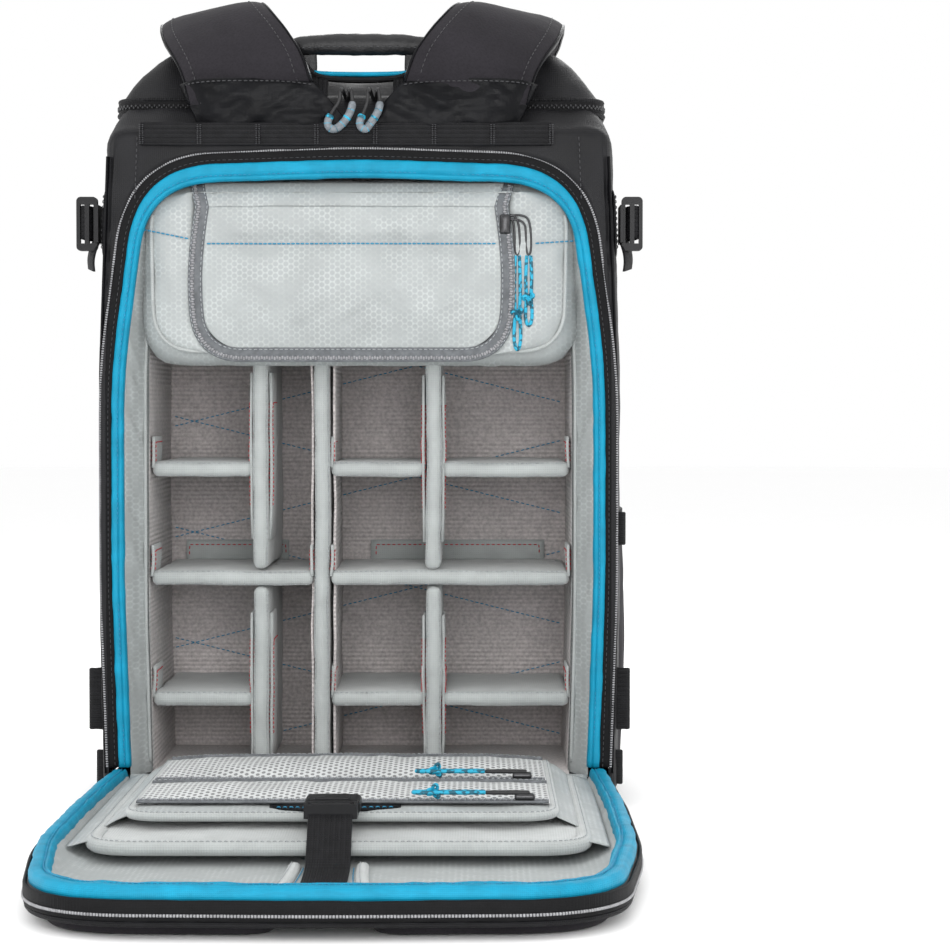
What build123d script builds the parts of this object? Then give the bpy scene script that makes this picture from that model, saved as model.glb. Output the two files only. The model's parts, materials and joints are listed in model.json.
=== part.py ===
"""Camera backpack that stands upright with its padded back panel folded down as a lid.

Frame: +Z up, the opening faces -Y, +X to the right when looking into the bag.
Origin: centre of the bag's base, on the surface that it stands on.  Millimetres.
"""
from build123d import *
import os
from math import pi, radians, tan

os.makedirs("parts", exist_ok=True)

# ---- driving dimensions ------------------------------------------------------------------
BODY_HALF = 171.0        # half width of the bag at its widest
TOP_HALF = 165.0         # half width at the shoulder of the bag
BODY_TOP = 452.0         # height of the main shell
RIM_Y = -105.0           # plane in which the lid meets the bag
HINGE_Z = 28.0           # fold line of the lid
FRONT_Y = 62.0           # outer face of the padded front wall
POCKET_Y = 112.0         # outermost face of the front pocket
RIM_GAP = 0.5            # clearance of each half of the rim from the rim plane

WALL = 27.0              # padded side walls
LINER = 2.0              # loop fabric lining
FRAME_DEPTH = 7.5        # depth of the stiff frame around the opening
FRONT_WALL = 10.0
DECK_TOP = 447.0         # floor of the top compartment
DECK_THICK = 10.0
FLOOR_TOP = 20.0         # top of the padded base
SILL_HALF = 150.0        # half width of the open sill between the sides of the rim

ZIP_BAND = 5.0           # width of the main zipper outside the blue binding
TRIM_BAND = 12.0         # width of the blue binding
HAIR = 0.05              # gap between faces that would otherwise coincide
FAR = 400.0              # reach of the shapes that only trim others

# opening outline: half of it, as x and height above the fold line, with corner radii
ARCH = [(0, 403), (146, 398), (164, 262), (164, 120), (160, 0)]
ARCH_RADII = [900, 62, 500, 500, 4]
# outline of the whole shell seen from the back
SHELL = [(BODY_HALF - 3, 0), (BODY_HALF, 120), (BODY_HALF, 290), (TOP_HALF, BODY_TOP)]
SHELL_RADII = [14, 400, 500, 12]


def rim_plane(y):
    """Upright sketch plane: local x is +X, local y is the height above the fold line."""
    return Plane(origin=(0, y, HINGE_Z), x_dir=(1, 0, 0), z_dir=(0, -1, 0))


def lid_plane(z):
    """Level sketch plane: local x is +X, local y is the distance in front of the fold line."""
    return Plane(origin=(0, RIM_Y, z), x_dir=(1, 0, 0), z_dir=(0, 0, -1))


def side_plane(x):
    """Upright sketch plane along the bag's depth: local x is +Y, local y is +Z."""
    return Plane(origin=(x, 0, 0), x_dir=(0, 1, 0), z_dir=(1, 0, 0))


def outline(half, radii, grow=0.0, drop=0.0):
    """Closed face symmetric about x = 0 from the points of its right half, top or bottom first."""
    left = [(-x, v) for x, v in reversed(half) if x > 0]
    if half[0][0] == 0:
        points = [half[0]] + half[1:] + left
        corner_radii = [radii[0]] + radii[1:] + radii[:0:-1]
    else:
        points = half + left
        corner_radii = radii + radii[::-1]
    with BuildSketch() as face:
        with BuildLine():
            FilletPolyline(*[(x, v - drop) for x, v in points], radius=corner_radii, close=True)
        make_face()
        if grow:
            offset(amount=grow, kind=Kind.INTERSECTION)
    return face.sketch


def opening(grow=0.0):
    """Arched outline of the blue binding's outer edge, made larger by grow."""
    return outline(ARCH, ARCH_RADII, grow)


def shell(grow=0.0):
    """Outline of the bag seen from the back, in rim_plane coordinates."""
    return outline(SHELL, SHELL_RADII, grow, drop=HINGE_Z)


def core(inset):
    """Outline between the side walls, inset from the shell, taller than the bag at both ends."""
    over = 50.0      # more than enough at each end; callers trim it
    lean = (BODY_HALF - TOP_HALF) * over / (BODY_TOP - SHELL[2][1])
    half = [(x - inset, v) for x, v in SHELL]
    half[0] = (half[0][0], -over)
    half[-1] = (half[-1][0] - lean, BODY_TOP + over)
    return outline(half, [0, *SHELL_RADII[1:3], 0], drop=HINGE_Z)


def finish(built, label):
    """Label a piece and write it to its own file."""
    built.part.label = label
    export_step(built.part, f"parts/{label}.step")


def window(low, high):
    """Rectangle between two heights, for trimming a sketch in rim_plane coordinates."""
    with BuildSketch() as band:
        with Locations((0, (low + high) / 2)):
            Rectangle(2 * FAR, high - low)
    return band.sketch


def box_between(low, high, mode=Mode.ADD):
    """Box from its lowest to its highest corner."""
    size = [b - a for a, b in zip(low, high)]
    middle = [(a + b) / 2 for a, b in zip(low, high)]
    with Locations(tuple(middle)):
        Box(*size, mode=mode)


# ---- main shell --------------------------------------------------------------------------
FRAME_Y = RIM_Y + RIM_GAP              # rear face of everything on the bag's own rim
WALL_Y = FRAME_Y + FRAME_DEPTH         # where the walls begin behind the frame

with BuildPart() as back_surround:
    with BuildSketch(rim_plane(WALL_Y)):
        add(shell())
        add(opening(ZIP_BAND + HAIR), mode=Mode.SUBTRACT)
        add(window(-FAR, FLOOR_TOP - HINGE_Z), mode=Mode.SUBTRACT)
        with Locations((0, -4)):
            Rectangle(2 * SILL_HALF, 10, mode=Mode.SUBTRACT)
    extrude(amount=FRAME_DEPTH)
finish(back_surround, "back_surround")

for side, label in ((-1, "side_wall_left"), (1, "side_wall_right")):
    with BuildPart() as side_wall:
        with BuildSketch(rim_plane(FRONT_Y)):
            add(shell())
            add(core(WALL), mode=Mode.SUBTRACT)
            add(window(FLOOR_TOP - HINGE_Z, DECK_TOP - HINGE_Z), mode=Mode.INTERSECT)
            with Locations((side * FAR, 0)):
                Rectangle(2 * FAR, 4 * FAR, mode=Mode.INTERSECT)
        extrude(amount=FRONT_Y - WALL_Y)
    finish(side_wall, label)

with BuildPart() as base_wall:
    with BuildSketch(rim_plane(FRONT_Y)):
        add(shell())
        add(window(-HINGE_Z, FLOOR_TOP - HINGE_Z), mode=Mode.INTERSECT)
    extrude(amount=FRONT_Y - FRAME_Y)
    fillet(base_wall.faces().sort_by(Axis.Z)[0].edges(), 4)
finish(base_wall, "base_wall")

with BuildPart() as front_wall:
    with BuildSketch(rim_plane(FRONT_Y)):
        add(core(WALL))
        add(window(FLOOR_TOP - HINGE_Z, DECK_TOP - DECK_THICK - HINGE_Z), mode=Mode.INTERSECT)
    extrude(amount=FRONT_WALL)
finish(front_wall, "front_wall")

with BuildPart() as top_deck:
    with BuildSketch(rim_plane(FRONT_Y)):
        add(core(WALL))
        add(window(DECK_TOP - DECK_THICK - HINGE_Z, DECK_TOP - HINGE_Z), mode=Mode.INTERSECT)
    extrude(amount=FRONT_Y - WALL_Y)
finish(top_deck, "top_deck")

# loop fabric on the two side walls, the front wall and the floor
CAVITY_Y = FRONT_Y - FRONT_WALL - LINER
with BuildPart() as loop_liner:
    with BuildSketch(rim_plane(CAVITY_Y)):
        add(core(WALL))
        add(core(WALL + LINER), mode=Mode.SUBTRACT)
        add(window(FLOOR_TOP - HINGE_Z, FAR), mode=Mode.INTERSECT)
        with Locations((0, FLOOR_TOP - HINGE_Z + LINER / 2)):
            Rectangle(2 * (SHELL[0][0] - WALL - 1), LINER)
    extrude(amount=CAVITY_Y - WALL_Y)
    with BuildSketch(rim_plane(CAVITY_Y + LINER)):
        add(core(WALL))
        add(window(FLOOR_TOP - HINGE_Z, FAR), mode=Mode.INTERSECT)
    extrude(amount=LINER)
finish(loop_liner, "loop_liner")

# ---- rim of the opening: coil zipper and blue binding ------------------------------------
with BuildPart() as body_zipper:
    with BuildSketch(rim_plane(FRAME_Y + 4)):
        add(opening(ZIP_BAND))
        add(opening(0), mode=Mode.SUBTRACT)
        add(window(0, FAR), mode=Mode.INTERSECT)
    extrude(amount=4)
finish(body_zipper, "body_zipper")

with BuildPart() as body_trim:
    with BuildSketch(rim_plane(WALL_Y)):
        add(opening(-HAIR))
        add(opening(-TRIM_BAND), mode=Mode.SUBTRACT)
        add(window(0, FAR), mode=Mode.INTERSECT)
        with Locations((0, 10)):
            Rectangle(2 * (SILL_HALF - 2), 40, mode=Mode.SUBTRACT)
    extrude(amount=FRAME_DEPTH)
finish(body_trim, "body_trim")

# ---- front pocket and side pockets -------------------------------------------------------
POCKET_SHELL = 4.0
POCKET_TOP = 430.0
POCKET_LOW = 6.0
POCKET_HALF = BODY_HALF - 5
POCKET_DRAFT = 12.0      # degrees by which the pocket's sides lean in


def pocket_face(grow):
    """Rounded outline of the front pocket where it meets the front wall."""
    with BuildSketch() as face:
        with Locations((0, (POCKET_LOW + POCKET_TOP) / 2 - HINGE_Z)):
            RectangleRounded(2 * (POCKET_HALF + grow), POCKET_TOP - POCKET_LOW + 2 * grow, 30)
    return face.sketch


with BuildPart() as front_pocket:
    with BuildSketch(rim_plane(FRONT_Y + 0.01)):
        add(pocket_face(0))
    extrude(amount=-(POCKET_Y - FRONT_Y), taper=POCKET_DRAFT)
    fillet(front_pocket.faces().sort_by(Axis.Y)[-1].edges(), 12)
    with BuildSketch(rim_plane(FRONT_Y + 0.01)):
        add(pocket_face(-POCKET_SHELL))
    extrude(amount=-(POCKET_Y - FRONT_Y - POCKET_SHELL), taper=POCKET_DRAFT, mode=Mode.SUBTRACT)
finish(front_pocket, "front_pocket")

SIDE_POCKET_TOP = 190.0
SIDE_POCKET_LOW = 20.0
SIDE_POCKET_OUT = 7.0
SIDE_POCKET_SKIN = 1.6
SIDE_POCKET_Y = (-36.0, 58.0)
SIDE_POCKET_SLOPE = 14.0


def side_pocket_face(side, skin):
    """Plan outline of a flat side pocket, inset by its skin."""
    inner = side * (BODY_HALF + 0.3)
    outer = inner + side * (SIDE_POCKET_OUT - skin)
    back, front = SIDE_POCKET_Y[0] + 2 * skin, SIDE_POCKET_Y[1] - 2 * skin
    with BuildSketch() as face:
        with BuildLine():
            Polyline(
                (inner, back), (outer, back + SIDE_POCKET_SLOPE),
                (outer, front - SIDE_POCKET_SLOPE), (inner, front), close=True,
            )
        make_face()
    return face.sketch


with BuildPart() as side_pockets:
    for side in (-1, 1):
        with BuildSketch(Plane.XY.offset(SIDE_POCKET_LOW - 4)):
            add(side_pocket_face(side, 0))
        extrude(amount=4)
        with BuildSketch(Plane.XY.offset(SIDE_POCKET_LOW)):
            add(side_pocket_face(side, 0))
            add(side_pocket_face(side, SIDE_POCKET_SKIN), mode=Mode.SUBTRACT)
        extrude(amount=SIDE_POCKET_TOP - SIDE_POCKET_LOW)
finish(side_pockets, "side_pockets")

# ---- top compartment ---------------------------------------------------------------------
TOP_BACK = -74.0
TOP_FRONT = 106.0
TOP_JOIN = 470.0
TOP_CREST = 512.0
TOP_SHELL = 4.0
HINGE_FREE = 10.0        # the zipper stops this far short of the flap's hinge side


def top_plan(grow=0.0):
    """Plan outline of the top compartment."""
    with BuildSketch() as face:
        with Locations((0, (TOP_BACK + TOP_FRONT) / 2)):
            RectangleRounded(
                2 * (TOP_HALF - 3 + grow), TOP_FRONT - TOP_BACK + 2 * grow, 22 + grow
            )
    return face.sketch


with BuildPart() as top_wall:
    with BuildSketch(Plane.XY.offset(DECK_TOP + 0.01)):
        add(top_plan())
        add(top_plan(-TOP_SHELL), mode=Mode.SUBTRACT)
    extrude(amount=TOP_JOIN - 4 - DECK_TOP)
    with BuildSketch(Plane.XY.offset(DECK_TOP + 0.01)):
        add(top_plan())
        with Locations((0, FRONT_Y - FAR)):
            Rectangle(2 * FAR, 2 * FAR, mode=Mode.SUBTRACT)
    extrude(amount=4)
finish(top_wall, "top_wall")

with BuildPart() as top_zipper:
    with BuildSketch(Plane.XY.offset(TOP_JOIN - 3.98)):
        add(top_plan(1))
        add(top_plan(-3), mode=Mode.SUBTRACT)
        with Locations((0, TOP_FRONT)):
            Rectangle(2 * FAR, 2 * HINGE_FREE, mode=Mode.SUBTRACT)
    extrude(amount=3.6)
finish(top_zipper, "top_zipper")

with BuildPart() as top_flap:
    with BuildSketch(side_plane(-TOP_HALF + 3)):
        with BuildLine():
            FilletPolyline(
                (TOP_BACK, TOP_JOIN + 0.4), (TOP_BACK + 36, TOP_CREST), (TOP_FRONT - 22, TOP_CREST),
                (TOP_FRONT, TOP_JOIN + 0.4), radius=[18, 20], close=False,
            )
            Line((TOP_FRONT, TOP_JOIN + 0.4), (TOP_BACK, TOP_JOIN + 0.4))
        make_face()
    extrude(amount=2 * (TOP_HALF - 3))
    with BuildSketch(Plane.XZ.offset(-TOP_FRONT - 5)):
        with BuildLine():
            FilletPolyline(
                (-TOP_HALF + 3, TOP_JOIN), (-TOP_HALF + 38, TOP_CREST + 0.01),
                (TOP_HALF - 38, TOP_CREST + 0.01), (TOP_HALF - 3, TOP_JOIN),
                radius=[20, 20], close=False,
            )
            Line((TOP_HALF - 3, TOP_JOIN), (-TOP_HALF + 3, TOP_JOIN))
        make_face()
    extrude(amount=TOP_FRONT - TOP_BACK + 20, mode=Mode.INTERSECT)
    offset(amount=-TOP_SHELL, openings=top_flap.faces().sort_by(Axis.Z)[0])
finish(top_flap, "top_flap")

# ---- things sewn on the back of the shell ------------------------------------------------
WEB_THICK = 1.6
with BuildPart() as daisy_chain:
    with BuildSketch(rim_plane(FRAME_Y)):
        with Locations((-8, BODY_TOP - 5.5 - HINGE_Z)):
            Rectangle(270, 10)
    extrude(amount=WEB_THICK)
finish(daisy_chain, "daisy_chain")

YOKE_LOW = BODY_TOP + 0.5
YOKE_TOP = 478.0
YOKE_FACE = -103.0
YOKE_BACK = -95.0
HANDLE_Y = -84.0
HANDLE_BASE = 483.0
HANDLE_TABS = ((-32.0, -22.0), (24.0, 34.0))
with BuildPart() as yoke:
    for side in (-1, 1):
        with BuildSketch(rim_plane(YOKE_BACK)):
            with BuildLine():
                Polyline(
                    (side * 11, YOKE_LOW - HINGE_Z), (side * 24, YOKE_TOP - HINGE_Z),
                    (side * 118, YOKE_TOP - HINGE_Z), (side * 110, YOKE_LOW - HINGE_Z), close=True,
                )
            make_face()
        extrude(amount=YOKE_BACK - YOKE_FACE)
    for low, high in HANDLE_TABS:
        box_between((low, YOKE_BACK - 0.5, YOKE_TOP - 8), (high, HANDLE_Y + 2, HANDLE_BASE - 0.5))
finish(yoke, "yoke")

# ---- shoulder straps: three padded lengths each, joined at soft folds --------------------
PAD = 16.0               # thickness of a shoulder strap
STRAP_Y = (-108.0, -45.0, 136.0)      # folds: yoke, over the top, over the front
STRAP_Z = (479.0, 535.0, 535.0)
STRAP_END = 330.0
STRAP_CENTRE = 80.0


def strap_length(side, profile, width_at, label):
    """One length of a shoulder strap: a side profile cut to the strap's width."""
    with BuildPart() as length:
        with BuildSketch(side_plane(side * STRAP_CENTRE - width_at / 2)):
            with BuildLine():
                Polyline(*profile, close=True)
            make_face()
        extrude(amount=width_at)
    finish(length, label)
    return length


for side, name in ((-1, "left"), (1, "right")):
    strap_length(
        side,
        [
            (STRAP_Y[0] + 0.3, STRAP_Z[0]), (STRAP_Y[0] + 6, STRAP_Z[0] + 26),
            (STRAP_Y[0] + 26, STRAP_Z[0] + 48), (STRAP_Y[1] - 0.3, STRAP_Z[1]),
            (STRAP_Y[1] - 0.3, STRAP_Z[1] - PAD), (STRAP_Y[0] + 33, STRAP_Z[0] + 32),
            (STRAP_Y[0] + 19, STRAP_Z[0] + 18), (STRAP_Y[0] + 14, STRAP_Z[0]),
        ],
        88.0, f"strap_{name}_yoke_length",
    )
    strap_length(
        side,
        [
            (STRAP_Y[1], STRAP_Z[1]), (STRAP_Y[2] - 36, STRAP_Z[2]), (STRAP_Y[2] - 12, STRAP_Z[2] - 8),
            (STRAP_Y[2], STRAP_Z[2] - 30), (STRAP_Y[2] - PAD, STRAP_Z[2] - 30),
            (STRAP_Y[2] - 23, STRAP_Z[2] - 21), (STRAP_Y[2] - 38, STRAP_Z[2] - PAD),
            (STRAP_Y[1], STRAP_Z[1] - PAD),
        ],
        82.0, f"strap_{name}_top_length",
    )
    strap_length(
        side,
        [
            (STRAP_Y[2], STRAP_Z[2] - 30.6), (STRAP_Y[2], STRAP_END),
            (STRAP_Y[2] - PAD, STRAP_END), (STRAP_Y[2] - PAD, STRAP_Z[2] - 30.6),
        ],
        70.0, f"strap_{name}_front_length",
    )
    with BuildPart() as strap_webbing:
        low, high = STRAP_END - 150, STRAP_END - 1
        box_between(
            (side * STRAP_CENTRE - 12.5, STRAP_Y[2] - PAD / 2 - 1, low),
            (side * STRAP_CENTRE + 12.5, STRAP_Y[2] - PAD / 2 + 1, high - 22),
        )
        box_between(
            (side * STRAP_CENTRE - 16, STRAP_Y[2] - PAD / 2 - 3, high - 24),
            (side * STRAP_CENTRE + 16, STRAP_Y[2] - PAD / 2 + 3, high),
        )
    finish(strap_webbing, f"strap_{name}_webbing")

# ---- grab handle -------------------------------------------------------------------------
HANDLE_TOP = 514.0
HANDLE_THICK = 8.0
HANDLE_BAR = 7.0         # width of the handle's sides around its slot
HANDLE_SLOT = 13.0
HANDLE_MIDDLE = (HANDLE_TABS[0][0] + HANDLE_TABS[1][1]) / 2
HANDLE_WIDE = HANDLE_TABS[1][1] - HANDLE_TABS[0][0]
with BuildPart() as grab_handle:
    with BuildSketch(rim_plane(HANDLE_Y + HANDLE_THICK / 2)):
        with Locations((HANDLE_MIDDLE, (HANDLE_BASE + HANDLE_TOP) / 2 - HINGE_Z)):
            RectangleRounded(HANDLE_WIDE, HANDLE_TOP - HANDLE_BASE, 6)
            RectangleRounded(HANDLE_WIDE - 2 * HANDLE_BAR, HANDLE_SLOT, 5, mode=Mode.SUBTRACT)
    extrude(amount=HANDLE_THICK)
finish(grab_handle, "grab_handle")

# ---- side compression buckles and sewn patches -------------------------------------------
SIDE_BUCKLE_Z = 389.0
SIDE_BUCKLE_Y = -70.0
SIDE_TAB = 2.2           # thickness of the sewn webbing tabs low on each side


def side_box(side, x_in, x_out, y_low, y_high, z_low, z_high):
    """Box on one side of the bag, between two distances from the middle plane."""
    box_between(
        (min(side * x_in, side * x_out), y_low, z_low), (max(side * x_in, side * x_out), y_high, z_high)
    )


with BuildPart() as anchor_patches:
    for side in (-1, 1):
        with BuildSketch(side_plane(side * (BODY_HALF + 0.1))):
            with BuildLine():
                Polyline(
                    (SIDE_BUCKLE_Y - 16, SIDE_BUCKLE_Z - 22), (SIDE_BUCKLE_Y + 22, SIDE_BUCKLE_Z - 22),
                    (SIDE_BUCKLE_Y + 34, SIDE_BUCKLE_Z), (SIDE_BUCKLE_Y + 22, SIDE_BUCKLE_Z + 22),
                    (SIDE_BUCKLE_Y - 16, SIDE_BUCKLE_Z + 22), close=True,
                )
            make_face()
        extrude(amount=side * SIDE_TAB)
        side_box(side, BODY_HALF + 0.1, BODY_HALF + 0.1 + SIDE_TAB, -94, -70, 60, 100)
finish(anchor_patches, "anchor_patches")

BUCKLE_X = BODY_HALF + SIDE_TAB + 0.6
for side, label in ((-1, "side_buckle_left"), (1, "side_buckle_right")):
    with BuildPart() as side_buckle:
        side_box(side, BUCKLE_X, BUCKLE_X + 2, -88, -58, SIDE_BUCKLE_Z - 12.5, SIDE_BUCKLE_Z + 12.5)
        with BuildSketch(rim_plane(-80)):
            with Locations((side * (BUCKLE_X + 8), SIDE_BUCKLE_Z - HINGE_Z)):
                RectangleRounded(14, 36, 3)
                with GridLocations(6, 0, 2, 1):
                    Rectangle(3, 26, mode=Mode.SUBTRACT)
        extrude(amount=5)
    finish(side_buckle, label)

# ---- pouch across the top of the compartment ---------------------------------------------
POUCH_HALF = 134.0
POUCH_Z = (302.0, 414.0)
POUCH_Y = (-95.0, -20.0)
POUCH_SKIN = 3.0
FLAP_X = (-109.0, 100.0)
FLAP_Z = (306.0, 400.0)
with BuildPart() as pouch_body:
    with BuildSketch(rim_plane(POUCH_Y[1])):
        with Locations((0, sum(POUCH_Z) / 2 - HINGE_Z)):
            RectangleRounded(2 * POUCH_HALF, POUCH_Z[1] - POUCH_Z[0], 20)
    extrude(amount=POUCH_Y[1] - POUCH_Y[0])
    with BuildSketch(rim_plane(POUCH_Y[1] - POUCH_SKIN)):
        with Locations((0, sum(POUCH_Z) / 2 - HINGE_Z)):
            RectangleRounded(
                2 * (POUCH_HALF - POUCH_SKIN), POUCH_Z[1] - POUCH_Z[0] - 2 * POUCH_SKIN, 17
            )
    extrude(amount=POUCH_Y[1] - POUCH_Y[0] - 2 * POUCH_SKIN, mode=Mode.SUBTRACT)
    box_between(
        (FLAP_X[0], POUCH_Y[0] - 1, FLAP_Z[0]), (FLAP_X[1], POUCH_Y[0] + 5, FLAP_Z[1]), Mode.SUBTRACT
    )
finish(pouch_body, "pouch_body")

POUCH_TAPE = 6.0         # width of the pouch's zipper tape
with BuildPart() as pouch_zipper:
    box_between(
        (FLAP_X[0] + 0.05, POUCH_Y[0], FLAP_Z[0] + 0.05),
        (FLAP_X[1] - 0.05, POUCH_Y[0] + 2, FLAP_Z[1] - 3),
    )
    box_between(
        (FLAP_X[0] + POUCH_TAPE, POUCH_Y[0] - 1, FLAP_Z[0] + POUCH_TAPE),
        (FLAP_X[1] - POUCH_TAPE, POUCH_Y[0] + 5, FLAP_Z[1] + 5), Mode.SUBTRACT,
    )
finish(pouch_zipper, "pouch_zipper")

with BuildPart() as pouch_flap:
    box_between(
        (FLAP_X[0] + POUCH_TAPE + 0.4, POUCH_Y[0] - 0.5, FLAP_Z[0] + POUCH_TAPE + 0.4),
        (FLAP_X[1] - POUCH_TAPE - 0.4, POUCH_Y[0] + 2.5, FLAP_Z[1] - 0.4),
    )
finish(pouch_flap, "pouch_flap")

SLIDER_X = FLAP_X[1] - POUCH_TAPE / 2
SLIDER_Z = FLAP_Z[1] - 12.0
PULL_X = (SLIDER_X + 8.0, SLIDER_X + 15.5)
PULL_LOW = SLIDER_Z - 20.0
with BuildPart() as pouch_slider:
    box_between(
        (SLIDER_X - 3, POUCH_Y[0] - 4, SLIDER_Z - 6), (SLIDER_X + 3, POUCH_Y[0] - 0.8, SLIDER_Z + 6)
    )
    box_between(
        (SLIDER_X - 1, POUCH_Y[0] - 5.5, SLIDER_Z - 2), (PULL_X[1] + 1.5, POUCH_Y[0] - 3.5, SLIDER_Z + 2)
    )
    for x in PULL_X:
        box_between(
            (x - 1.5, POUCH_Y[0] - 5.5, PULL_LOW), (x + 1.5, POUCH_Y[0] - 3.5, SLIDER_Z + 2)
        )
finish(pouch_slider, "pouch_slider")

# ---- dividers ----------------------------------------------------------------------------
DIVIDER = 10.0
DIVIDER_FRONT = -77.0
DIVIDER_Z = (FLOOR_TOP + LINER + 1.0, POUCH_Z[0] - 1.5)
TAB_HEIGHT = 16.0
TAB_THICK = 2.0
MIDDLE_ROW = 152.0       # height of the middle shelves
UPPER_ROW = 225.0
LOWER_ROW = 70.0
COLUMNS = (-67.0, -26.0, 49.0)      # upright dividers, left, middle and right
CELL_HALF = BODY_HALF - WALL - LINER - 1.0


def upright(x, low, high):
    """Upright divider that stands on the front wall lining."""
    box_between(
        (x - DIVIDER / 2, DIVIDER_FRONT, low), (x + DIVIDER / 2, CAVITY_Y - 0.5, high)
    )


def shelf(left, right, z, depth_in=0.0):
    """Level divider with a turned-up fastening tab at each end."""
    front = DIVIDER_FRONT + depth_in
    box_between((left, front, z - DIVIDER / 2), (right, CAVITY_Y - 0.5, z + DIVIDER / 2))
    for x in (left, right - TAB_THICK):
        box_between(
            (x, front + 4, z + DIVIDER / 2), (x + TAB_THICK, CAVITY_Y - 1, z + DIVIDER / 2 + TAB_HEIGHT)
        )


def edge(column, side):
    """Face of an upright divider that a shelf meets, with a hair of clearance."""
    return COLUMNS[column] + side * (DIVIDER / 2 + 0.5)


with BuildPart() as divider_tall:
    upright(COLUMNS[1], *DIVIDER_Z)
finish(divider_tall, "divider_tall")

with BuildPart() as dividers_upper:
    for column in (0, 2):
        upright(COLUMNS[column], MIDDLE_ROW + DIVIDER / 2 + 1, DIVIDER_Z[1])
finish(dividers_upper, "dividers_upright_upper")

with BuildPart() as dividers_lower:
    for column in (0, 2):
        upright(COLUMNS[column], DIVIDER_Z[0], MIDDLE_ROW - DIVIDER / 2 - 1)
finish(dividers_lower, "dividers_upright_lower")

with BuildPart() as shelf_middle_left:
    shelf(-CELL_HALF, edge(1, -1), MIDDLE_ROW)
finish(shelf_middle_left, "shelf_middle_left")

with BuildPart() as shelf_middle_right:
    shelf(edge(1, 1), CELL_HALF, MIDDLE_ROW)
finish(shelf_middle_right, "shelf_middle_right")

SHORT_INSET = 4.0        # the short shelves stand this much further in
with BuildPart() as shelves_short:
    for row in (LOWER_ROW, UPPER_ROW):
        shelf(-CELL_HALF, edge(0, -1), row, SHORT_INSET)
        shelf(edge(1, 1), edge(2, -1), row, SHORT_INSET)
        shelf(edge(2, 1), CELL_HALF, row, SHORT_INSET)
finish(shelves_short, "shelves_short")

# ---- lid ---------------------------------------------------------------------------------
PAD_TOP = 7.0            # thickness of the back pads on the outside of the lid
PAD_CHANNEL = 46.0       # width of the upright channel between the pads
PAD_GAP = 18.0           # height of the level gap between the pads
PAD_MIDDLE = 214.0       # distance of that gap from the fold line
LID_FLOOR = 11.0
LID_WALL_TOP = 20.0
LID_RIM = HINGE_Z - RIM_GAP
LID_START = 1.0          # gap between the fold line and the stiff parts of the lid


def ahead_of_fold(start=LID_START):
    """Everything in front of the fold line, for trimming a sketch in lid_plane coordinates."""
    with BuildSketch() as front:
        with Locations((0, FAR + start)):
            Rectangle(2 * FAR, 2 * FAR)
    return front.sketch


with BuildPart() as lid_shell:
    with BuildSketch(lid_plane(LID_WALL_TOP)):
        add(opening(ZIP_BAND))
        add(ahead_of_fold(), mode=Mode.INTERSECT)
    extrude(amount=LID_WALL_TOP - PAD_TOP)
    with BuildSketch(lid_plane(LID_WALL_TOP)):
        add(opening(-4))
        add(ahead_of_fold(5), mode=Mode.INTERSECT)
    extrude(amount=LID_WALL_TOP - LID_FLOOR, mode=Mode.SUBTRACT)
finish(lid_shell, "lid_shell")

with BuildPart() as lid_pads:
    with BuildSketch(lid_plane(PAD_TOP)):
        add(opening(-2))
        add(ahead_of_fold(20), mode=Mode.INTERSECT)
        with Locations((0, PAD_MIDDLE)):
            Rectangle(PAD_CHANNEL, 2 * FAR, mode=Mode.SUBTRACT)
            Rectangle(2 * FAR, PAD_GAP, mode=Mode.SUBTRACT)
    extrude(amount=PAD_TOP)
finish(lid_pads, "lid_pads")

with BuildPart() as lid_zipper:
    with BuildSketch(lid_plane(19)):
        add(opening(ZIP_BAND + 2.5))
        add(opening(ZIP_BAND + HAIR), mode=Mode.SUBTRACT)
        add(ahead_of_fold(8), mode=Mode.INTERSECT)
    extrude(amount=9)
finish(lid_zipper, "lid_zipper")

with BuildPart() as lid_trim:
    with BuildSketch(lid_plane(LID_RIM)):
        add(opening(ZIP_BAND - 1))
        add(opening(-7), mode=Mode.SUBTRACT)
        add(ahead_of_fold(), mode=Mode.INTERSECT)
        with Locations((0, 0)):
            Rectangle(2 * 152, 16, mode=Mode.SUBTRACT)
    extrude(amount=LID_RIM - LID_WALL_TOP)
finish(lid_trim, "lid_trim")

# padded sleeve panels, the lower one longer, with a gap for a flat thing under each
SLEEVE_START = 16.0
LOWER_SLEEVE = (16.5, 24.8, 262.0, 138.0)      # lowest z, highest z, length, half width
UPPER_SLEEVE = (29.6, 35.0, 225.0, 122.0)
for label, (low, high, length, half) in (
    ("sleeve_panel_lower", LOWER_SLEEVE), ("sleeve_panel_upper", UPPER_SLEEVE)
):
    with BuildPart() as sleeve:
        box_between((-half, RIM_Y - length, low), (half, RIM_Y - SLEEVE_START, high))
        box_between(
            (-half, RIM_Y - SLEEVE_START - 8, low - 4.4), (half, RIM_Y - SLEEVE_START, low)
        )
        for side in (-1, 1):
            side_box(
                side, half - 4, half, RIM_Y - length + 20, RIM_Y - SLEEVE_START, low - 4.4, low
            )
    finish(sleeve, label)

MESH_BASE = UPPER_SLEEVE[1] + 0.2
MESH_TOP = 44.0
MESH_SPLIT = (SLEEVE_START + 6, 112.0, 122.0, 196.0)
MESH_HALF = 118.0
ZIP_WIDE = 6.0
for label, near, far, top in (
    ("mesh_pocket_near", MESH_SPLIT[0], MESH_SPLIT[1], MESH_TOP),
    ("mesh_pocket_far", MESH_SPLIT[2], MESH_SPLIT[3], MESH_TOP - 3),
):
    with BuildPart() as mesh_pocket:
        with BuildSketch(side_plane(-MESH_HALF)):
            with BuildLine():
                Polyline(
                    (RIM_Y - near, MESH_BASE), (RIM_Y - near - 8, top), (RIM_Y - far + 16, top),
                    (RIM_Y - far, MESH_BASE + 3), (RIM_Y - far, MESH_BASE), close=True,
                )
            make_face()
        extrude(amount=2 * MESH_HALF)
    finish(mesh_pocket, label)

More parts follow.
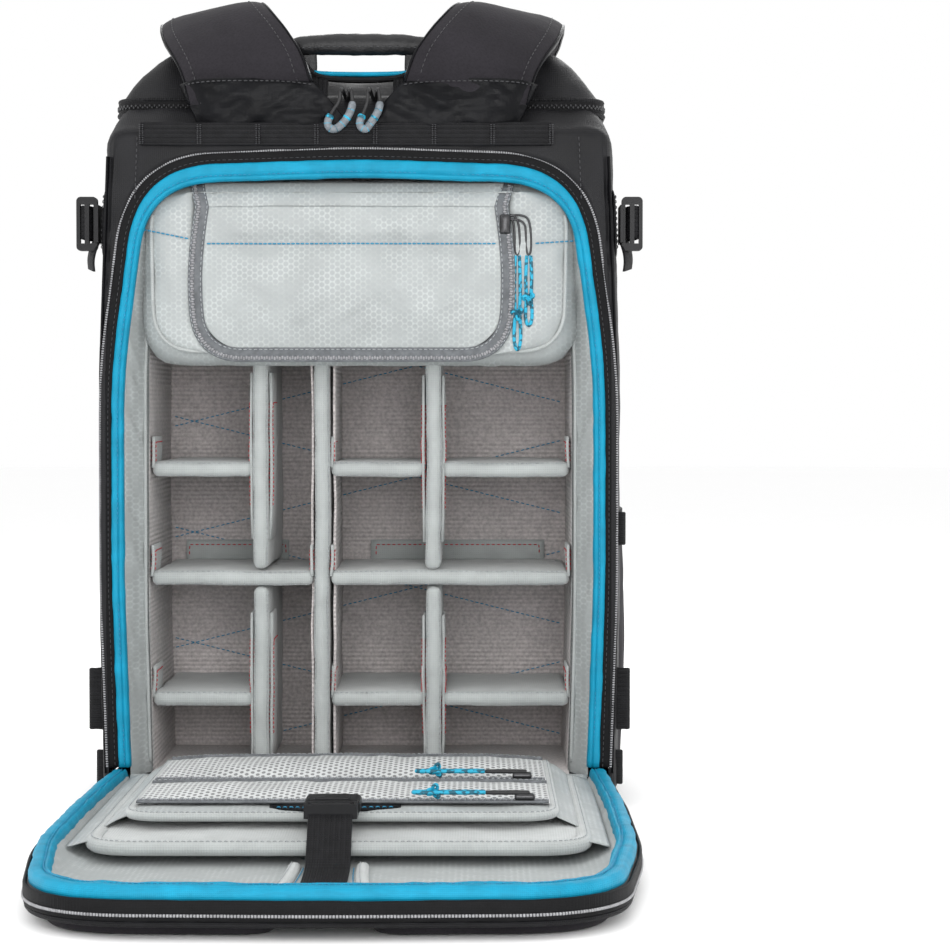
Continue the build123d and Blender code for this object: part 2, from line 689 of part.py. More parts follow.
with BuildPart() as mesh_zippers:
    for place in (MESH_SPLIT[1], MESH_SPLIT[3]):
        box_between(
            (-MESH_HALF, RIM_Y - place - 0.3 - ZIP_WIDE, MESH_BASE),
            (MESH_HALF, RIM_Y - place - 0.3, MESH_BASE + 3),
        )
finish(mesh_zippers, "mesh_zippers")

MESH_SLIDER_X = 106.0
for label, place in (("near", MESH_SPLIT[1]), ("far", MESH_SPLIT[3])):
    with BuildPart() as mesh_slider:
        middle = RIM_Y - place - 0.3 - ZIP_WIDE / 2
        box_between(
            (MESH_SLIDER_X - 6, middle - 4, MESH_BASE + 3.3),
            (MESH_SLIDER_X + 6, middle + 4, MESH_BASE + 6.3),
        )
        box_between(
            (MESH_SLIDER_X - 22, middle - 2, MESH_BASE + 6.3),
            (MESH_SLIDER_X + 2, middle + 2, MESH_BASE + 8.3),
        )
    finish(mesh_slider, f"mesh_slider_{label}")

# ---- strap and side-release buckle that close the sleeves --------------------------------
LOCK_X = -4.0
LOCK_Z = 36.2
WING_THICK = 1.0
FEMALE_Y = (-346.0, -325.0)
MALE_Y = (-362.0, -346.5)
PRONG = 14.0             # reach of the buckle's prongs into its female half
with BuildPart() as lid_webbing:
    with BuildSketch(side_plane(LOCK_X - 12.5)):
        with BuildLine():
            Polyline(
                (-363, LOCK_Z - 2), (-371, LOCK_Z - 4), (-388, LID_FLOOR + 2.2), (-440, LID_FLOOR + 2.2),
                (-440, LID_FLOOR + 0.2), (-386, LID_FLOOR + 0.2), (-369, LOCK_Z - 6),
                (-363, LOCK_Z - 4), close=True,
            )
        make_face()
    extrude(amount=25)
    with BuildSketch(Plane.XY.offset(UPPER_SLEEVE[1] + 0.2)):
        with BuildLine():
            Polyline(
                (LOCK_X - 36, FEMALE_Y[1] + 10), (LOCK_X - 13, FEMALE_Y[1] - 6),
                (LOCK_X + 13, FEMALE_Y[1] - 6), (LOCK_X + 36, FEMALE_Y[1] + 10),
                (LOCK_X + 30, FEMALE_Y[1] + 16), (LOCK_X - 30, FEMALE_Y[1] + 16), close=True,
            )
        make_face()
    extrude(amount=WING_THICK)
finish(lid_webbing, "lid_webbing")

with BuildPart() as buckle_female:
    with BuildSketch(Plane.XZ.offset(-FEMALE_Y[1])):
        with Locations((LOCK_X, LOCK_Z + 4.5)):
            RectangleRounded(32, 8.6, 3)
    extrude(amount=FEMALE_Y[1] - FEMALE_Y[0])
    with BuildSketch(Plane.XZ.offset(-FEMALE_Y[1] + 4)):
        with Locations((LOCK_X, LOCK_Z + 4.5)):
            Rectangle(26, 5)
    extrude(amount=FEMALE_Y[1] - FEMALE_Y[0], mode=Mode.SUBTRACT)
finish(buckle_female, "buckle_female")

with BuildPart() as buckle_male:
    box_between(
        (LOCK_X - 15, MALE_Y[0], LOCK_Z + 0.4), (LOCK_X + 15, MALE_Y[1], LOCK_Z + 8.4)
    )
    box_between(
        (LOCK_X - 13, MALE_Y[0] + 4, LOCK_Z - 1), (LOCK_X + 13, MALE_Y[0] + 9, LOCK_Z + 10), Mode.SUBTRACT
    )
    for side in (-1, 1):
        side_low = LOCK_X + side * 10 - 2
        box_between(
            (side_low, MALE_Y[1] - 0.5, LOCK_Z + 2.6), (side_low + 4, MALE_Y[1] + PRONG, LOCK_Z + 6.4)
        )
finish(buckle_male, "buckle_male")

# ---- sliders of the top zipper -----------------------------------------------------------
TOP_SLIDERS = (-8.0, 10.0)
TOP_PULL_Z = TOP_JOIN + 4.0
TOP_PULL_Y = -113.0
with BuildPart() as top_sliders:
    for x in TOP_SLIDERS:
        box_between((x - 6, TOP_BACK - 5, TOP_JOIN - 6), (x + 6, TOP_BACK - 1.2, TOP_JOIN + 1))
        box_between((x - 2, TOP_BACK - 5, TOP_JOIN), (x + 2, TOP_BACK - 1.5, TOP_PULL_Z + 2))
        box_between((x - 2, TOP_PULL_Y, TOP_PULL_Z), (x + 2, TOP_BACK - 1.5, TOP_PULL_Z + 2))
finish(top_sliders, "top_sliders")

# ---- pull cords, each a tube along straight runs joined by arcs --------------------------
CORD = 2.4               # diameter of the pull cords


def pull_cord(label, points):
    """Round cord along a hand-placed route; the arcs are as large as their runs allow."""
    vectors = [Vector(*p) for p in points]
    radii = []
    for before, at, after in zip(vectors, vectors[1:], vectors[2:]):
        run_in, run_out = at - before, after - at
        turn = radians(run_in.get_angle(run_out))
        radii.append(0.45 * min(run_in.length, run_out.length) / tan(turn / 2))
    with BuildPart() as cord:
        with BuildLine() as route:
            FilletPolyline(*points, radius=radii)
        with BuildSketch(Plane(origin=points[0], z_dir=vectors[1] - vectors[0])):
            Circle(CORD / 2)
        sweep(path=route.wires()[0])
    length = route.wires()[0].length
    ideal = length * pi * CORD**2 / 4
    print(f"{label}: length {length:.1f}, radii {[round(r, 1) for r in radii]}, "
          f"volume ratio {cord.part.volume / ideal:.4f}")
    finish(cord, label)


# loops through the pulls of the top zipper, seen side by side behind the yoke
for label, x, lean in (("top_cord_left", TOP_SLIDERS[0], -9.0), ("top_cord_right", TOP_SLIDERS[1], -6.0)):
    pull_cord(label, [
        (x + 3.4, -109, TOP_PULL_Z + 1), (x + 5.2, -110, TOP_PULL_Z - 6),
        (x + 3.5, -110.5, TOP_PULL_Z - 14), (x - 2, -111, TOP_PULL_Z - 22),
        (x + lean + 1, -111.5, TOP_PULL_Z - 26), (x + lean - 3.6, -111.5, TOP_PULL_Z - 22),
        (x + lean + 0.5, -111, TOP_PULL_Z - 13), (x - 3, -110, TOP_PULL_Z - 6),
        (x - 3.4, -109, TOP_PULL_Z + 1),
    ])

# loops that hang from the two pulls of the pouch slider, tied near their ends
for label, x, drop in (("pouch_cord_left", PULL_X[0], 62.0), ("pouch_cord_right", PULL_X[1], 46.0)):
    start = PULL_LOW - 1
    y = POUCH_Y[0] - 4.6
    pull_cord(label, [
        (x - 1.3, y, start), (x - 2.2, y, start - drop * 0.3), (x - 1.4, y, start - drop * 0.62),
        (x - 2.4, y, start - drop * 0.86), (x - 1.2, y, start - drop), (x + 1.4, y, start - drop),
        (x + 2.5, y, start - drop * 0.84), (x + 1.4, y, start - drop * 0.6),
        (x + 2.2, y, start - drop * 0.3), (x + 1.3, y, start),
    ])

# loops that lie on the mesh pockets, out to the left of their sliders
for label, place in (("mesh_cord_near", MESH_SPLIT[1]), ("mesh_cord_far", MESH_SPLIT[3])):
    y = RIM_Y - place - 0.3 - ZIP_WIDE / 2
    x = MESH_SLIDER_X - 23
    z = MESH_BASE + 7.6
    pull_cord(label, [
        (x, y + 1.4, z), (x - 12, y + 2.6, z), (x - 25, y + 1.2, z), (x - 37, y + 2.2, z),
        (x - 42, y + 1.2, z), (x - 42, y - 1.6, z), (x - 37, y - 2.8, z), (x - 25, y - 1.6, z),
        (x - 12, y - 3, z), (x, y - 1.4, z),
    ])
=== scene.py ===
"""Looks of a camera backpack that stands open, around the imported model.

Shapes are worked out in millimetres and written to meshes in metres. Where a call ends in a starred name, that
name holds its (material, body, slot).
"""
import json
import math

import bmesh
import bpy
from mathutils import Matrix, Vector, noise


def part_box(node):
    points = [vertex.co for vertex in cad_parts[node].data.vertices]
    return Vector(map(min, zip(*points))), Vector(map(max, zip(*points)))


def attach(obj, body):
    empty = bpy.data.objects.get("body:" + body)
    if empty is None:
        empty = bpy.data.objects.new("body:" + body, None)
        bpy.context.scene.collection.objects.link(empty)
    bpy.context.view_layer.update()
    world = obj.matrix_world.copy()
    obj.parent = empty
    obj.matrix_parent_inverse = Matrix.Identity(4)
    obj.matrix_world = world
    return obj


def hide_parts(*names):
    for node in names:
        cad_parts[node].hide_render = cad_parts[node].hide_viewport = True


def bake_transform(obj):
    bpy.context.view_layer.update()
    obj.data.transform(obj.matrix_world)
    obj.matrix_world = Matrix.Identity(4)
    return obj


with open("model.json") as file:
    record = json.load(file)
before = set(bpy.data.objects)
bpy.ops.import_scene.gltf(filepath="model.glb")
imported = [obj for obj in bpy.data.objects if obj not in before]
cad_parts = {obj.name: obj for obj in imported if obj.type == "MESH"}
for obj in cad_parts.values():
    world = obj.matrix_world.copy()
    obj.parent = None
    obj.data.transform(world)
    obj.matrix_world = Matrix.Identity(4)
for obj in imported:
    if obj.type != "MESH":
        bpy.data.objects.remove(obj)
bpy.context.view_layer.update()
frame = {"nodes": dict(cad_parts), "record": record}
MM = 0.001
JOINTS = {j["name"]: [c / MM for c in j["pos_m"]] for j in frame["record"]["behaviour"]["joints"] if "pos_m" in j}
SIDES = ((-1, "left"), (1, "right"))
ACROSS, BEHIND, UP = Vector((1, 0, 0)), Vector((0, 1, 0)), Vector((0, 0, 1))
BACK = -BEHIND


def cad(*nodes):
    """Lowest and highest corner, in millimetres, of one or more CAD nodes."""
    boxes = [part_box(node) for node in nodes]
    low = Vector([min(b[0][k] for b in boxes) / MM for k in range(3)])
    high = Vector([max(b[1][k] for b in boxes) / MM for k in range(3)])
    return low, high


# ---- camera and light -----------------------------------------------------------------------
RIM_Y = JOINTS["lid_hinge"][1]      # plane in which lid and bag meet
HINGE_Z = JOINTS["lid_hinge"][2]    # fold line of the lid
CAMERA_RANGE, CAMERA_SIDE, CAMERA_HIGH, CAMERA_LENS, CAMERA_PITCH = 1650.0, 77.0, 269.0, 94.7, 1.63


def placed(name, data):
    """Object in the scene."""
    made = bpy.data.objects.new(name, data)
    bpy.context.scene.collection.objects.link(made)
    return made


camera = placed("camera", bpy.data.cameras.new("camera"))
camera.data.lens = CAMERA_LENS
camera.data.sensor_width = 36.0
camera.location = (CAMERA_SIDE * MM, (RIM_Y - CAMERA_RANGE) * MM, CAMERA_HIGH * MM)
camera.rotation_euler = (math.radians(90 - CAMERA_PITCH), 0, 0)
bpy.context.scene.camera = camera

for name, place, size, power, aim in (
    ("key", (-1300, -1500, 1500), 1100, 9, (0, -150, 200)), ("fill", (1500, -1500, 900), 1200, 3.5, (0, -150, 200)),
    ("front", (77, -1900, 560), 900, 15, (0, -50, 230)), ("top", (0, -300, 1900), 1400, 6, (0, -150, 200)),
    ("back", (300, 1600, 1400), 1200, 14, (0, 0, 300)), ("right", (1900, 300, 700), 900, 7, (0, -150, 200)),
    ("left", (-1900, 300, 700), 900, 7, (0, -150, 200)),
):
    light = placed(name, bpy.data.lights.new(name, "AREA"))
    light.data.size, light.data.energy = size * MM, power
    light.location = Vector(place) * MM
    light.rotation_euler = (Vector(aim) - Vector(place)).to_track_quat("-Z", "Y").to_euler()
world = bpy.data.worlds.new("studio")
world.use_nodes = True
world.node_tree.nodes["Background"].inputs[0].default_value = (1.0, 1.0, 1.0, 1)
world.node_tree.nodes["Background"].inputs[1].default_value = 1.0
bpy.context.scene.world = world
bpy.context.scene.view_settings.view_transform = "Standard"


# ---- materials ------------------------------------------------------------------------------
class Shader:
    """Node material in object coordinates, built up from a few patterns."""

    def __init__(self, name, color, rough, specular=0.5, **sockets):
        self.material = bpy.data.materials.new(name)
        self.material.use_nodes = True
        self.material.diffuse_color = (*color, 1)
        self.nodes, self.links = self.material.node_tree.nodes, self.material.node_tree.links
        self.surface = self.nodes["Principled BSDF"]
        for socket, value in {"Roughness": rough, "Specular_IOR_Level": specular, **sockets}.items():
            self.surface.inputs[socket.replace("_", " ")].default_value = value
        self.color, self.shade, self.normal = color, None, None
        self.coords = self.nodes.new("ShaderNodeTexCoord").outputs["Object"]
        split = self.nodes.new("ShaderNodeSeparateXYZ")
        self.links.new(self.coords, split.inputs[0])
        self.xyz = dict(zip("xyz", split.outputs))

    def node(self, kind, output, **inputs):
        """New node whose inputs are numbers or other nodes' outputs."""
        made = self.nodes.new(f"ShaderNode{kind}")
        for name, value in inputs.items():
            socket = made.inputs[name.replace("_", " ")]
            if isinstance(value, bpy.types.NodeSocket):
                self.links.new(value, socket)
            else:
                socket.default_value = value
        return made.outputs[output]

    def math(self, operation, a, b=0.0):
        """Arithmetic on two numbers or sockets."""
        made = self.nodes.new("ShaderNodeMath")
        made.operation = operation
        for socket, value in zip(made.inputs, (a, b)):
            if isinstance(value, bpy.types.NodeSocket):
                self.links.new(value, socket)
            else:
                socket.default_value = value
        return made.outputs[0]

    def pattern(self, kind, size, detail=3.0):
        """Pattern with features of a size in millimetres.

        Grain and cells go from 0 up. A weave, and ribs across the axis x, y or z, go from -1 to 1.
        """
        if kind in self.xyz:
            return self.math("SINE", self.math("MULTIPLY", self.xyz[kind], 2 * math.pi / (size * MM)))
        if kind == "weave":
            total = self.math("ADD", self.pattern("x", size), self.pattern("y", size))
            return self.math("MULTIPLY", self.math("ADD", total, self.pattern("z", size)), 0.4)
        if kind == "cells":
            return self.node("TexVoronoi", "Distance", Scale=1 / (size * MM), Vector=self.coords)
        return self.node("TexNoise", "Fac", Scale=1 / (size * MM), Detail=detail, Vector=self.coords)

    def honeycomb(self, across, along, period, squeeze=1.0):
        """Hexagonal cells in one plane, high in their middles; squeeze below 1 makes them long."""
        total = 0.0
        for turn in (0, 60, 120):
            u = self.math("MULTIPLY", self.xyz[across], math.cos(math.radians(turn)))
            v = self.math("MULTIPLY", self.xyz[along], squeeze * math.sin(math.radians(turn)))
            phase = self.math("MULTIPLY", self.math("ADD", u, v), 2 * math.pi / (period * MM))
            total = self.math("ADD", total, self.math("COSINE", phase))
        return self.math("MULTIPLY", total, 1 / 3)

    def mapped(self, pattern, low, high, first, last):
        """Pattern turned from low-to-high into first-to-last."""
        return self.node("MapRange", "Result", Value=pattern, From_Min=low, From_Max=high, To_Min=first, To_Max=last)

    def tint(self, kind, size, dark, light, span=None, detail=3.0):
        """Multiply the colour by dark to light as a pattern, or a socket given for one, goes over its span."""
        low, high = span or ((0.3, 0.7) if kind == "grain" else (-1, 1))
        pattern = self.pattern(kind, size, detail) if isinstance(kind, str) else kind
        factor = self.mapped(pattern, low, high, dark, light)
        self.shade = factor if self.shade is None else self.math("MULTIPLY", self.shade, factor)
        return self

    def bump(self, kind, size, depth, strength, detail=3.0):
        """Add a relief of a depth in millimetres."""
        pattern = self.pattern(kind, size, detail) if isinstance(kind, str) else kind
        under = {} if self.normal is None else {"Normal": self.normal}
        self.normal = self.node("Bump", 0, Distance=depth * MM, Strength=strength, Height=pattern, **under)
        return self

    def roughen(self, pattern, low, high):
        """Let the roughness go from low to high as a pattern goes from 0 to 1."""
        self.links.new(self.mapped(pattern, 0, 1, low, high), self.surface.inputs["Roughness"])
        return self

    def done(self):
        """The finished material."""
        mix = self.nodes.new("ShaderNodeVectorMath")
        mix.operation = "SCALE"
        mix.inputs[0].default_value = self.color
        self.links.new(self.shade, mix.inputs["Scale"])
        self.links.new(mix.outputs[0], self.surface.inputs["Base Color"])
        if self.normal is not None:
            self.links.new(self.normal, self.surface.inputs["Normal"])
        return self.material


def ripstop(name, across, along):
    """Light cloth with an outline of hexagons that comes and goes."""
    s = Shader(name, (0.335, 0.357, 0.355), 0.5, 0.55, Sheen_Weight=0.1)
    comb = s.honeycomb(across, along, 3.4)
    # the ripstop grid is the cloth's own; its lighter tone, in random patches, is painted sheen on the grid threads
    outline_patches = s.mapped(s.pattern("grain", 20, 2), 0.40, 0.60, 0.15, 1.0)
    shown = s.math("MULTIPLY", s.mapped(comb, -0.5, -0.08, 1.0, 0.0), outline_patches)
    s.tint(shown, 0, 0.93, 1.2, (0, 1)).tint("grain", 30, 0.92, 1.05).roughen(shown, 0.6, 0.36)
    return s.bump(comb, 0, -0.12, 0.5).bump("grain", 12, 0.9, 0.4).bump("grain", 4, 0.25, 0.4).done()


s = Shader("shell_weave", (0.0080, 0.0080, 0.0092), 0.55, 0.20).tint("grain", 28, 0.75, 1.3)
s.tint("weave", 1.3, 0.8, 1.2).roughen(s.pattern("grain", 14), 0.45, 0.66)
SHELL_MAT = s.bump("weave", 1.3, 0.12, 0.6).bump("grain", 9, 0.6, 0.55, 4).done()
s = Shader("satin_weave", (0.0032, 0.0033, 0.0042), 0.36, 0.11).tint("grain", 20, 0.75, 1.35)
s.roughen(s.pattern("grain", 8), 0.26, 0.48)
SATIN = s.bump("grain", 11, 1.6, 0.6).bump("weave", 0.9, 0.06, 0.5).done()
s = Shader("strap_knit", (0.0155, 0.0140, 0.0170), 0.85, 0.12, Sheen_Weight=0.04, Sheen_Roughness=0.6)
FOAM = s.tint("grain", 35, 0.85, 1.15).tint("cells", 1.6, 0.85, 1.15, (0, 0.7)).bump("cells", 1.6, 0.25, 0.5).done()
WEB_X, WEB_Y, WEB_Z = (
    Shader(f"webbing_{axis}", (0.0062, 0.0062, 0.0072), 0.6, 0.18).tint("grain", 6, 0.75, 1.35)
    .tint(axis, 1.5, 0.82, 1.2).bump(axis, 1.5, 0.2, 0.6).bump("weave", 1.0, 0.2, 0.7).done() for axis in "xyz")
s = Shader("blue_binding", (0.002, 0.235, 0.38), 0.55, 0.22).tint("grain", 14, 0.86, 1.12)
BINDING = s.tint("weave", 1.0, 0.93, 1.07).bump("weave", 1.0, 0.1, 0.6).bump("grain", 6, 0.7, 0.45).done()
BLACK_TAPE, GREY_TAPE = (
    Shader(name, color, 0.6, 0.15).tint("grain", 5, 0.8, 1.25).bump("weave", 0.8, 0.15, 0.7).done()
    for name, color in (("black_zip_tape", (0.0036, 0.0036, 0.0042)), ("grey_zip_tape", (0.125, 0.132, 0.14))))
BLACK_COIL, TEETH, GREY_COIL = (
    Shader(name, color, 0.32).tint("grain", 3, 0.8, 1.3).done() for name, color in (
        ("black_coil", (0.016, 0.016, 0.018)), ("bare_teeth", (0.24, 0.24, 0.25)), ("grey_coil", (0.24, 0.25, 0.265))))
s = Shader("moulded_plastic", (0.006, 0.006, 0.007), 0.42, 0.24)
PLASTIC = s.tint("grain", 2.5, 0.9, 1.15).bump("grain", 0.8, 0.06, 0.5, 4).done()
METAL = Shader("dark_metal", (0.05, 0.05, 0.052), 0.3, Metallic=0.85).tint("grain", 2, 0.8, 1.2).done()
s = Shader("handle_leather", (0.0075, 0.0075, 0.0085), 0.44, 0.34).tint("grain", 9, 0.8, 1.3)
LEATHER = s.bump("cells", 1.8, 0.3, 0.6).bump("grain", 7, 0.9, 0.6, 4).done()
RIPSTOP_FRONT = ripstop("grey_ripstop_front", "x", "z")
RIPSTOP_LEVEL = ripstop("grey_ripstop_level", "x", "y")
s = Shader("grey_padded", (0.335, 0.355, 0.35), 0.7, Sheen_Weight=0.3, Sheen_Roughness=0.6)
s.tint("grain", 16, 0.9, 1.06).tint("weave", 1.5, 0.94, 1.05)
PADDED = s.bump("weave", 1.5, 0.15, 0.6).bump("grain", 7, 0.6, 0.5).done()
s = Shader("loop_liner", (0.50, 0.462, 0.454), 0.95, Sheen_Weight=0.2, Sheen_Roughness=0.7)
s.tint("grain", 2.2, 0.76, 1.2, detail=4).tint("z", 3.0, 0.9, 1.08).tint("grain", 60, 0.88, 1.1)
LINER = s.bump("z", 3.2, 0.4, 0.6).bump("grain", 1.6, 0.5, 0.8, 4).done()
s = Shader("hex_mesh", (0.56, 0.57, 0.57), 0.75)
comb = s.honeycomb("x", "y", 3.4, 0.55)
# the cell middles, which are the mesh's holes, are painted dark: painted shade in place of see-through holes
MESH = s.tint(comb, 0, 1.0, 0.36, (0.02, 0.22)).tint("grain", 25, 0.92, 1.06).bump(comb, 0, 0.5, 0.8).done()
CYAN_CORD, BLACK_CORD, TUBE = (
    Shader(name, color, 0.6).tint("cells", 3.2, 1.0, fleck, (0.5, 0.62)).bump("cells", 1.1, 0.2, 0.7).done()
    for name, color, fleck in (("cyan_cord", (0.010, 0.33, 0.50), 0.25), ("black_cord", (0.012, 0.012, 0.013), 0.7),
                               ("grey_tube", (0.16, 0.18, 0.20), 0.8)))
BLUE_THREAD, RED_THREAD, GREY_THREAD, BLACK_THREAD = (
    Shader(f"{name}_thread", color, 0.55).tint("grain", 1.2, 0.8, 1.25).done() for name, color in (
        ("blue", (0.02, 0.21, 0.37)), ("red", (0.42, 0.03, 0.035)), ("grey", (0.30, 0.32, 0.33)),
        ("black", (0.03, 0.03, 0.033))))

# what pieces are made of, what they ride on and a slot name
BAG_SHELL, BAG_SATIN = (SHELL_MAT, "bag", "shell_fabric"), (SATIN, "bag", "shell_fabric")
BAG_THREAD, BAG_WEB = (BLACK_THREAD, "bag", "shell_fabric"), (WEB_X, "bag", "webbing")
BAG_WEB_UP, BAG_TAPE = (WEB_Z, "bag", "webbing"), (BLACK_TAPE, "bag", "coil_zipper")
BAG_TEETH, BAG_COIL = (TEETH, "bag", "coil_zipper"), (BLACK_COIL, "bag", "coil_zipper")
BAG_METAL, LINING = (METAL, "bag", "slider_metal"), (LINER, "bag", "loop_fabric")
POUCH, POUCH_PIPING = (RIPSTOP_FRONT, "bag", "grey_ripstop"), (PADDED, "bag", "grey_ripstop")
POUCH_THREAD, DIVIDER_CLOTH = (BLUE_THREAD, "bag", "grey_ripstop"), (PADDED, "bag", "divider_fabric")
RED_SEAM, GREY_SEAM = (RED_THREAD, "bag", "divider_fabric"), (GREY_THREAD, "bag", "divider_fabric")
LID_CLOTH, LID_PADDED = (RIPSTOP_LEVEL, "lid", "grey_ripstop"), (PADDED, "lid", "grey_ripstop")
LID_WEB = (WEB_X, "lid", "webbing")


# ---- mesh tools -----------------------------------------------------------------------------
def solid(name, verts, faces, material, body, slot, replaces=(), fill=None):
    """Smooth mesh piece from millimetre points, riding on a body.

    It may stand for CAD nodes. fill is not used.
    """
    mesh = bpy.data.meshes.new(name)
    mesh.from_pydata([Vector(v) * MM for v in verts], [], faces)
    mesh.update()
    piece = placed(name, mesh)
    box = bmesh.new()
    box.from_mesh(mesh)
    bmesh.ops.remove_doubles(box, verts=box.verts, dist=0.02 * MM)
    bmesh.ops.recalc_face_normals(box, faces=box.faces)
    for face in box.faces:
        face.smooth = True
    box.to_mesh(mesh)
    box.free()
    mesh.materials.append(material)
    if body:
        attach(piece, body)
    if replaces:
        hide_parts(*([replaces] if isinstance(replaces, str) else replaces))
    return piece


def wobble(point, size, seed=0.0):
    """Smooth random value from -1 to 1 for a place, with features of a size in millimetres."""
    return noise.noise(Vector(point) / size + Vector((seed * 7.3, seed * 3.1, seed * 5.7)))


def crumple(piece, depth, size, seed=0.0, keep=None):
    """Move points along their normals by random folds; keep(point) scales the folds."""
    mesh = piece.data
    normals = [v.normal.copy() for v in mesh.vertices]
    for vertex, normal in zip(mesh.vertices, normals):
        point = vertex.co / MM
        amount = wobble(point, size, seed) + 0.5 * wobble(point, size * 0.45, seed + 1)
        if keep:
            amount *= keep(point)
        vertex.co = vertex.co + normal * (amount * depth * MM)
    mesh.update()
    return piece


def ring_faces(rings, count, closed=True):
    """Quads between rings of the same number of points."""
    return [(i * count + k, i * count + (k + 1) % count, (i + 1) * count + (k + 1) % count, (i + 1) * count + k)
            for i in range(rings - 1) for k in range(count if closed else count - 1)]


def loft(name, rings, material, body, slot, closed=True, caps=(True, True), **marks):
    """Surface through rings of points, with a cap on its first and its last ring as caps says."""
    count, total = len(rings[0]), len(rings) * len(rings[0])
    faces = ring_faces(len(rings), count, closed)
    if caps[0]:
        faces.append(tuple(range(count))[::-1])
    if caps[1]:
        faces.append(tuple(range(total - count, total)))
    return solid(name, [p for ring in rings for p in ring], faces, material, body, slot, **marks)


def lumps(name, groups, material, body, slot):
    """Many small capped lofts as one piece; each group is a list of rings."""
    verts, faces = [], []
    for rings in groups:
        base, count = len(verts), len(rings[0])
        verts += [p for ring in rings for p in ring]
        size = len(verts) - base
        own = [*ring_faces(len(rings), count), tuple(range(count))[::-1], tuple(range(size - count, size))]
        faces += [tuple(base + k for k in face) for face in own]
    return solid(name, verts, faces, material, body, slot)


def sweep(name, path, section, material, body, slot, caps=(True, True), **marks):
    """Sweep a closed section along a path of (point, across, out) triples.

    section is a list of (across, out) pairs, or a function that gives one for each index.
    """
    rings = [[point + across * u + out * w for u, w in (section(i) if callable(section) else section)]
             for i, (point, across, out) in enumerate(path)]
    return loft(name, rings, material, body, slot, True, caps, **marks)


def circle(radius, count=8, stretch=1.0):
    """Round section."""
    turns = [2 * math.pi * k / count for k in range(count)]
    return [(radius * stretch * math.cos(turn), radius * math.sin(turn)) for turn in turns]


def headings(line):
    """Unit direction of an open line at each of its points."""
    last = len(line) - 1
    return [(line[min(i + 1, last)] - line[max(i - 1, 0)]).normalized() for i in range(last + 1)]


def lengths_along(line):
    """Length of the line up to each point."""
    lengths = [0.0]
    for a, b in zip(line, line[1:]):
        lengths.append(lengths[-1] + (b - a).length)
    return lengths


def walk(line, lengths, wanted):
    """Index of the span and point on the line at each wanted length."""
    k = 0
    for want in wanted:
        while k < len(line) - 2 and lengths[k + 1] < want:
            k += 1
        span = lengths[k + 1] - lengths[k]
        yield k, line[k].lerp(line[k + 1], (want - lengths[k]) / span if span else 0.0)


def even(line, step):
    """The same line with points a step apart."""
    line = [Vector(p) for p in line]
    lengths = lengths_along(line)
    count = max(2, round(lengths[-1] / step))
    return [p for _, p in walk(line, lengths, [lengths[-1] * i / count for i in range(count + 1)])]


def rounded_path(points, radii, step):
    """Open 2-D polyline with its inner corners rounded, in points about a step apart."""
    corners = [Vector(p) for p in points]
    path = [corners[0]]
    for before, at, after, radius in zip(corners, corners[1:], corners[2:], radii):
        run_in, run_out = at - before, after - at
        turn = run_in.angle(run_out)
        reach = min(radius * math.tan(turn / 2), 0.49 * min(run_in.length, run_out.length))
        start, end = at - run_in.normalized() * reach, at + run_out.normalized() * reach
        steps = max(2, int(turn * reach / math.tan(turn / 2) / step)) if turn > 0.001 else 1
        path.append(start)
        for t in (k / steps for k in range(1, steps)):
            path.append(start * (1 - t) ** 2 + at * 2 * t * (1 - t) + end * t * t)
        path.append(end)
    return even([*path, corners[-1]], step)


def loop_points(corners, radii, count):
    """Closed rounded outline in points spaced evenly, starting in the middle of the last side."""
    start = (Vector(corners[-1]) + Vector(corners[0])) / 2
    line = rounded_path([start, *corners, start], radii, 1.5)
    lengths = lengths_along(line)
    return [p for _, p in walk(line, lengths, [lengths[-1] * i / count for i in range(count)])]


def smooth_line(points, rounds=3):
    """Corner-cutting of an open polyline that keeps its ends."""
    line = [Vector(p) for p in points]
    for _ in range(rounds):
        cut = [line[0]]
        for a, b in zip(line, line[1:]):
            cut += [a.lerp(b, 0.25), a.lerp(b, 0.75)]
        line = cut + [line[-1]]
    return line


def rounded_section(wide, high, radius, corner_steps=2):
    """Closed rounded rectangle about its centre."""
    shape = []
    for sx, sy, start in ((1, 1, 0), (-1, 1, 90), (-1, -1, 180), (1, -1, 270)):
        cx, cy = sx * (wide / 2 - radius), sy * (high / 2 - radius)
        for k in range(corner_steps + 1):
            turn = math.radians(start + 90 * k / corner_steps)
            shape.append((cx + radius * math.cos(turn), cy + radius * math.sin(turn)))
    return shape


def spaced(low, high, step, edge):
    """Values from low to high, closer together near both ends."""
    inner = max(1, round((high - low - 2 * edge) / step))
    values = [low + edge + (high - low - 2 * edge) * k / inner for k in range(inner + 1)]
    return [low, low + edge * 0.25, low + edge * 0.6, *values, high - edge * 0.6, high - edge * 0.25, high]


def padded_box(name, low, high, radius, material, body, slot, puff=(0, 0, 0), step=2.0, **marks):
    """Soft box with round edges and crowned faces."""
    low, high = Vector(low), Vector(high)
    middle, half = (low + high) / 2, (high - low) / 2
    radius = min(radius, *[h * 0.98 for h in half])
    grid = [spaced(-h, h, step, min(radius, h * 0.9)) for h in half]
    verts, faces = [], []
    for axis in range(3):
        u, v = (axis + 1) % 3, (axis + 2) % 3
        for sign in (-1, 1):
            faces += [tuple(len(verts) + k for k in face) for face in grid_faces(len(grid[u]), len(grid[v]))]
            for a in grid[u]:
                for b in grid[v]:
                    point = Vector((0, 0, 0))
                    point[axis], point[u], point[v] = sign * half[axis], a, b
                    core = Vector([max(-h + radius, min(h - radius, c)) for c, h in zip(point, half)])
                    away = point - core
                    if away.length > 1e-6:
                        point = core + away.normalized() * radius
                    for k in range(3):
                        i, j = (k + 1) % 3, (k + 2) % 3
                        crown = (1 - (point[i] / half[i]) ** 2) * (1 - (point[j] / half[j]) ** 2)
                        point[k] += puff[k] * crown * point[k] / half[k]
                    verts.append(point + middle)
    return solid(name, verts, faces, material, body, slot, **marks)


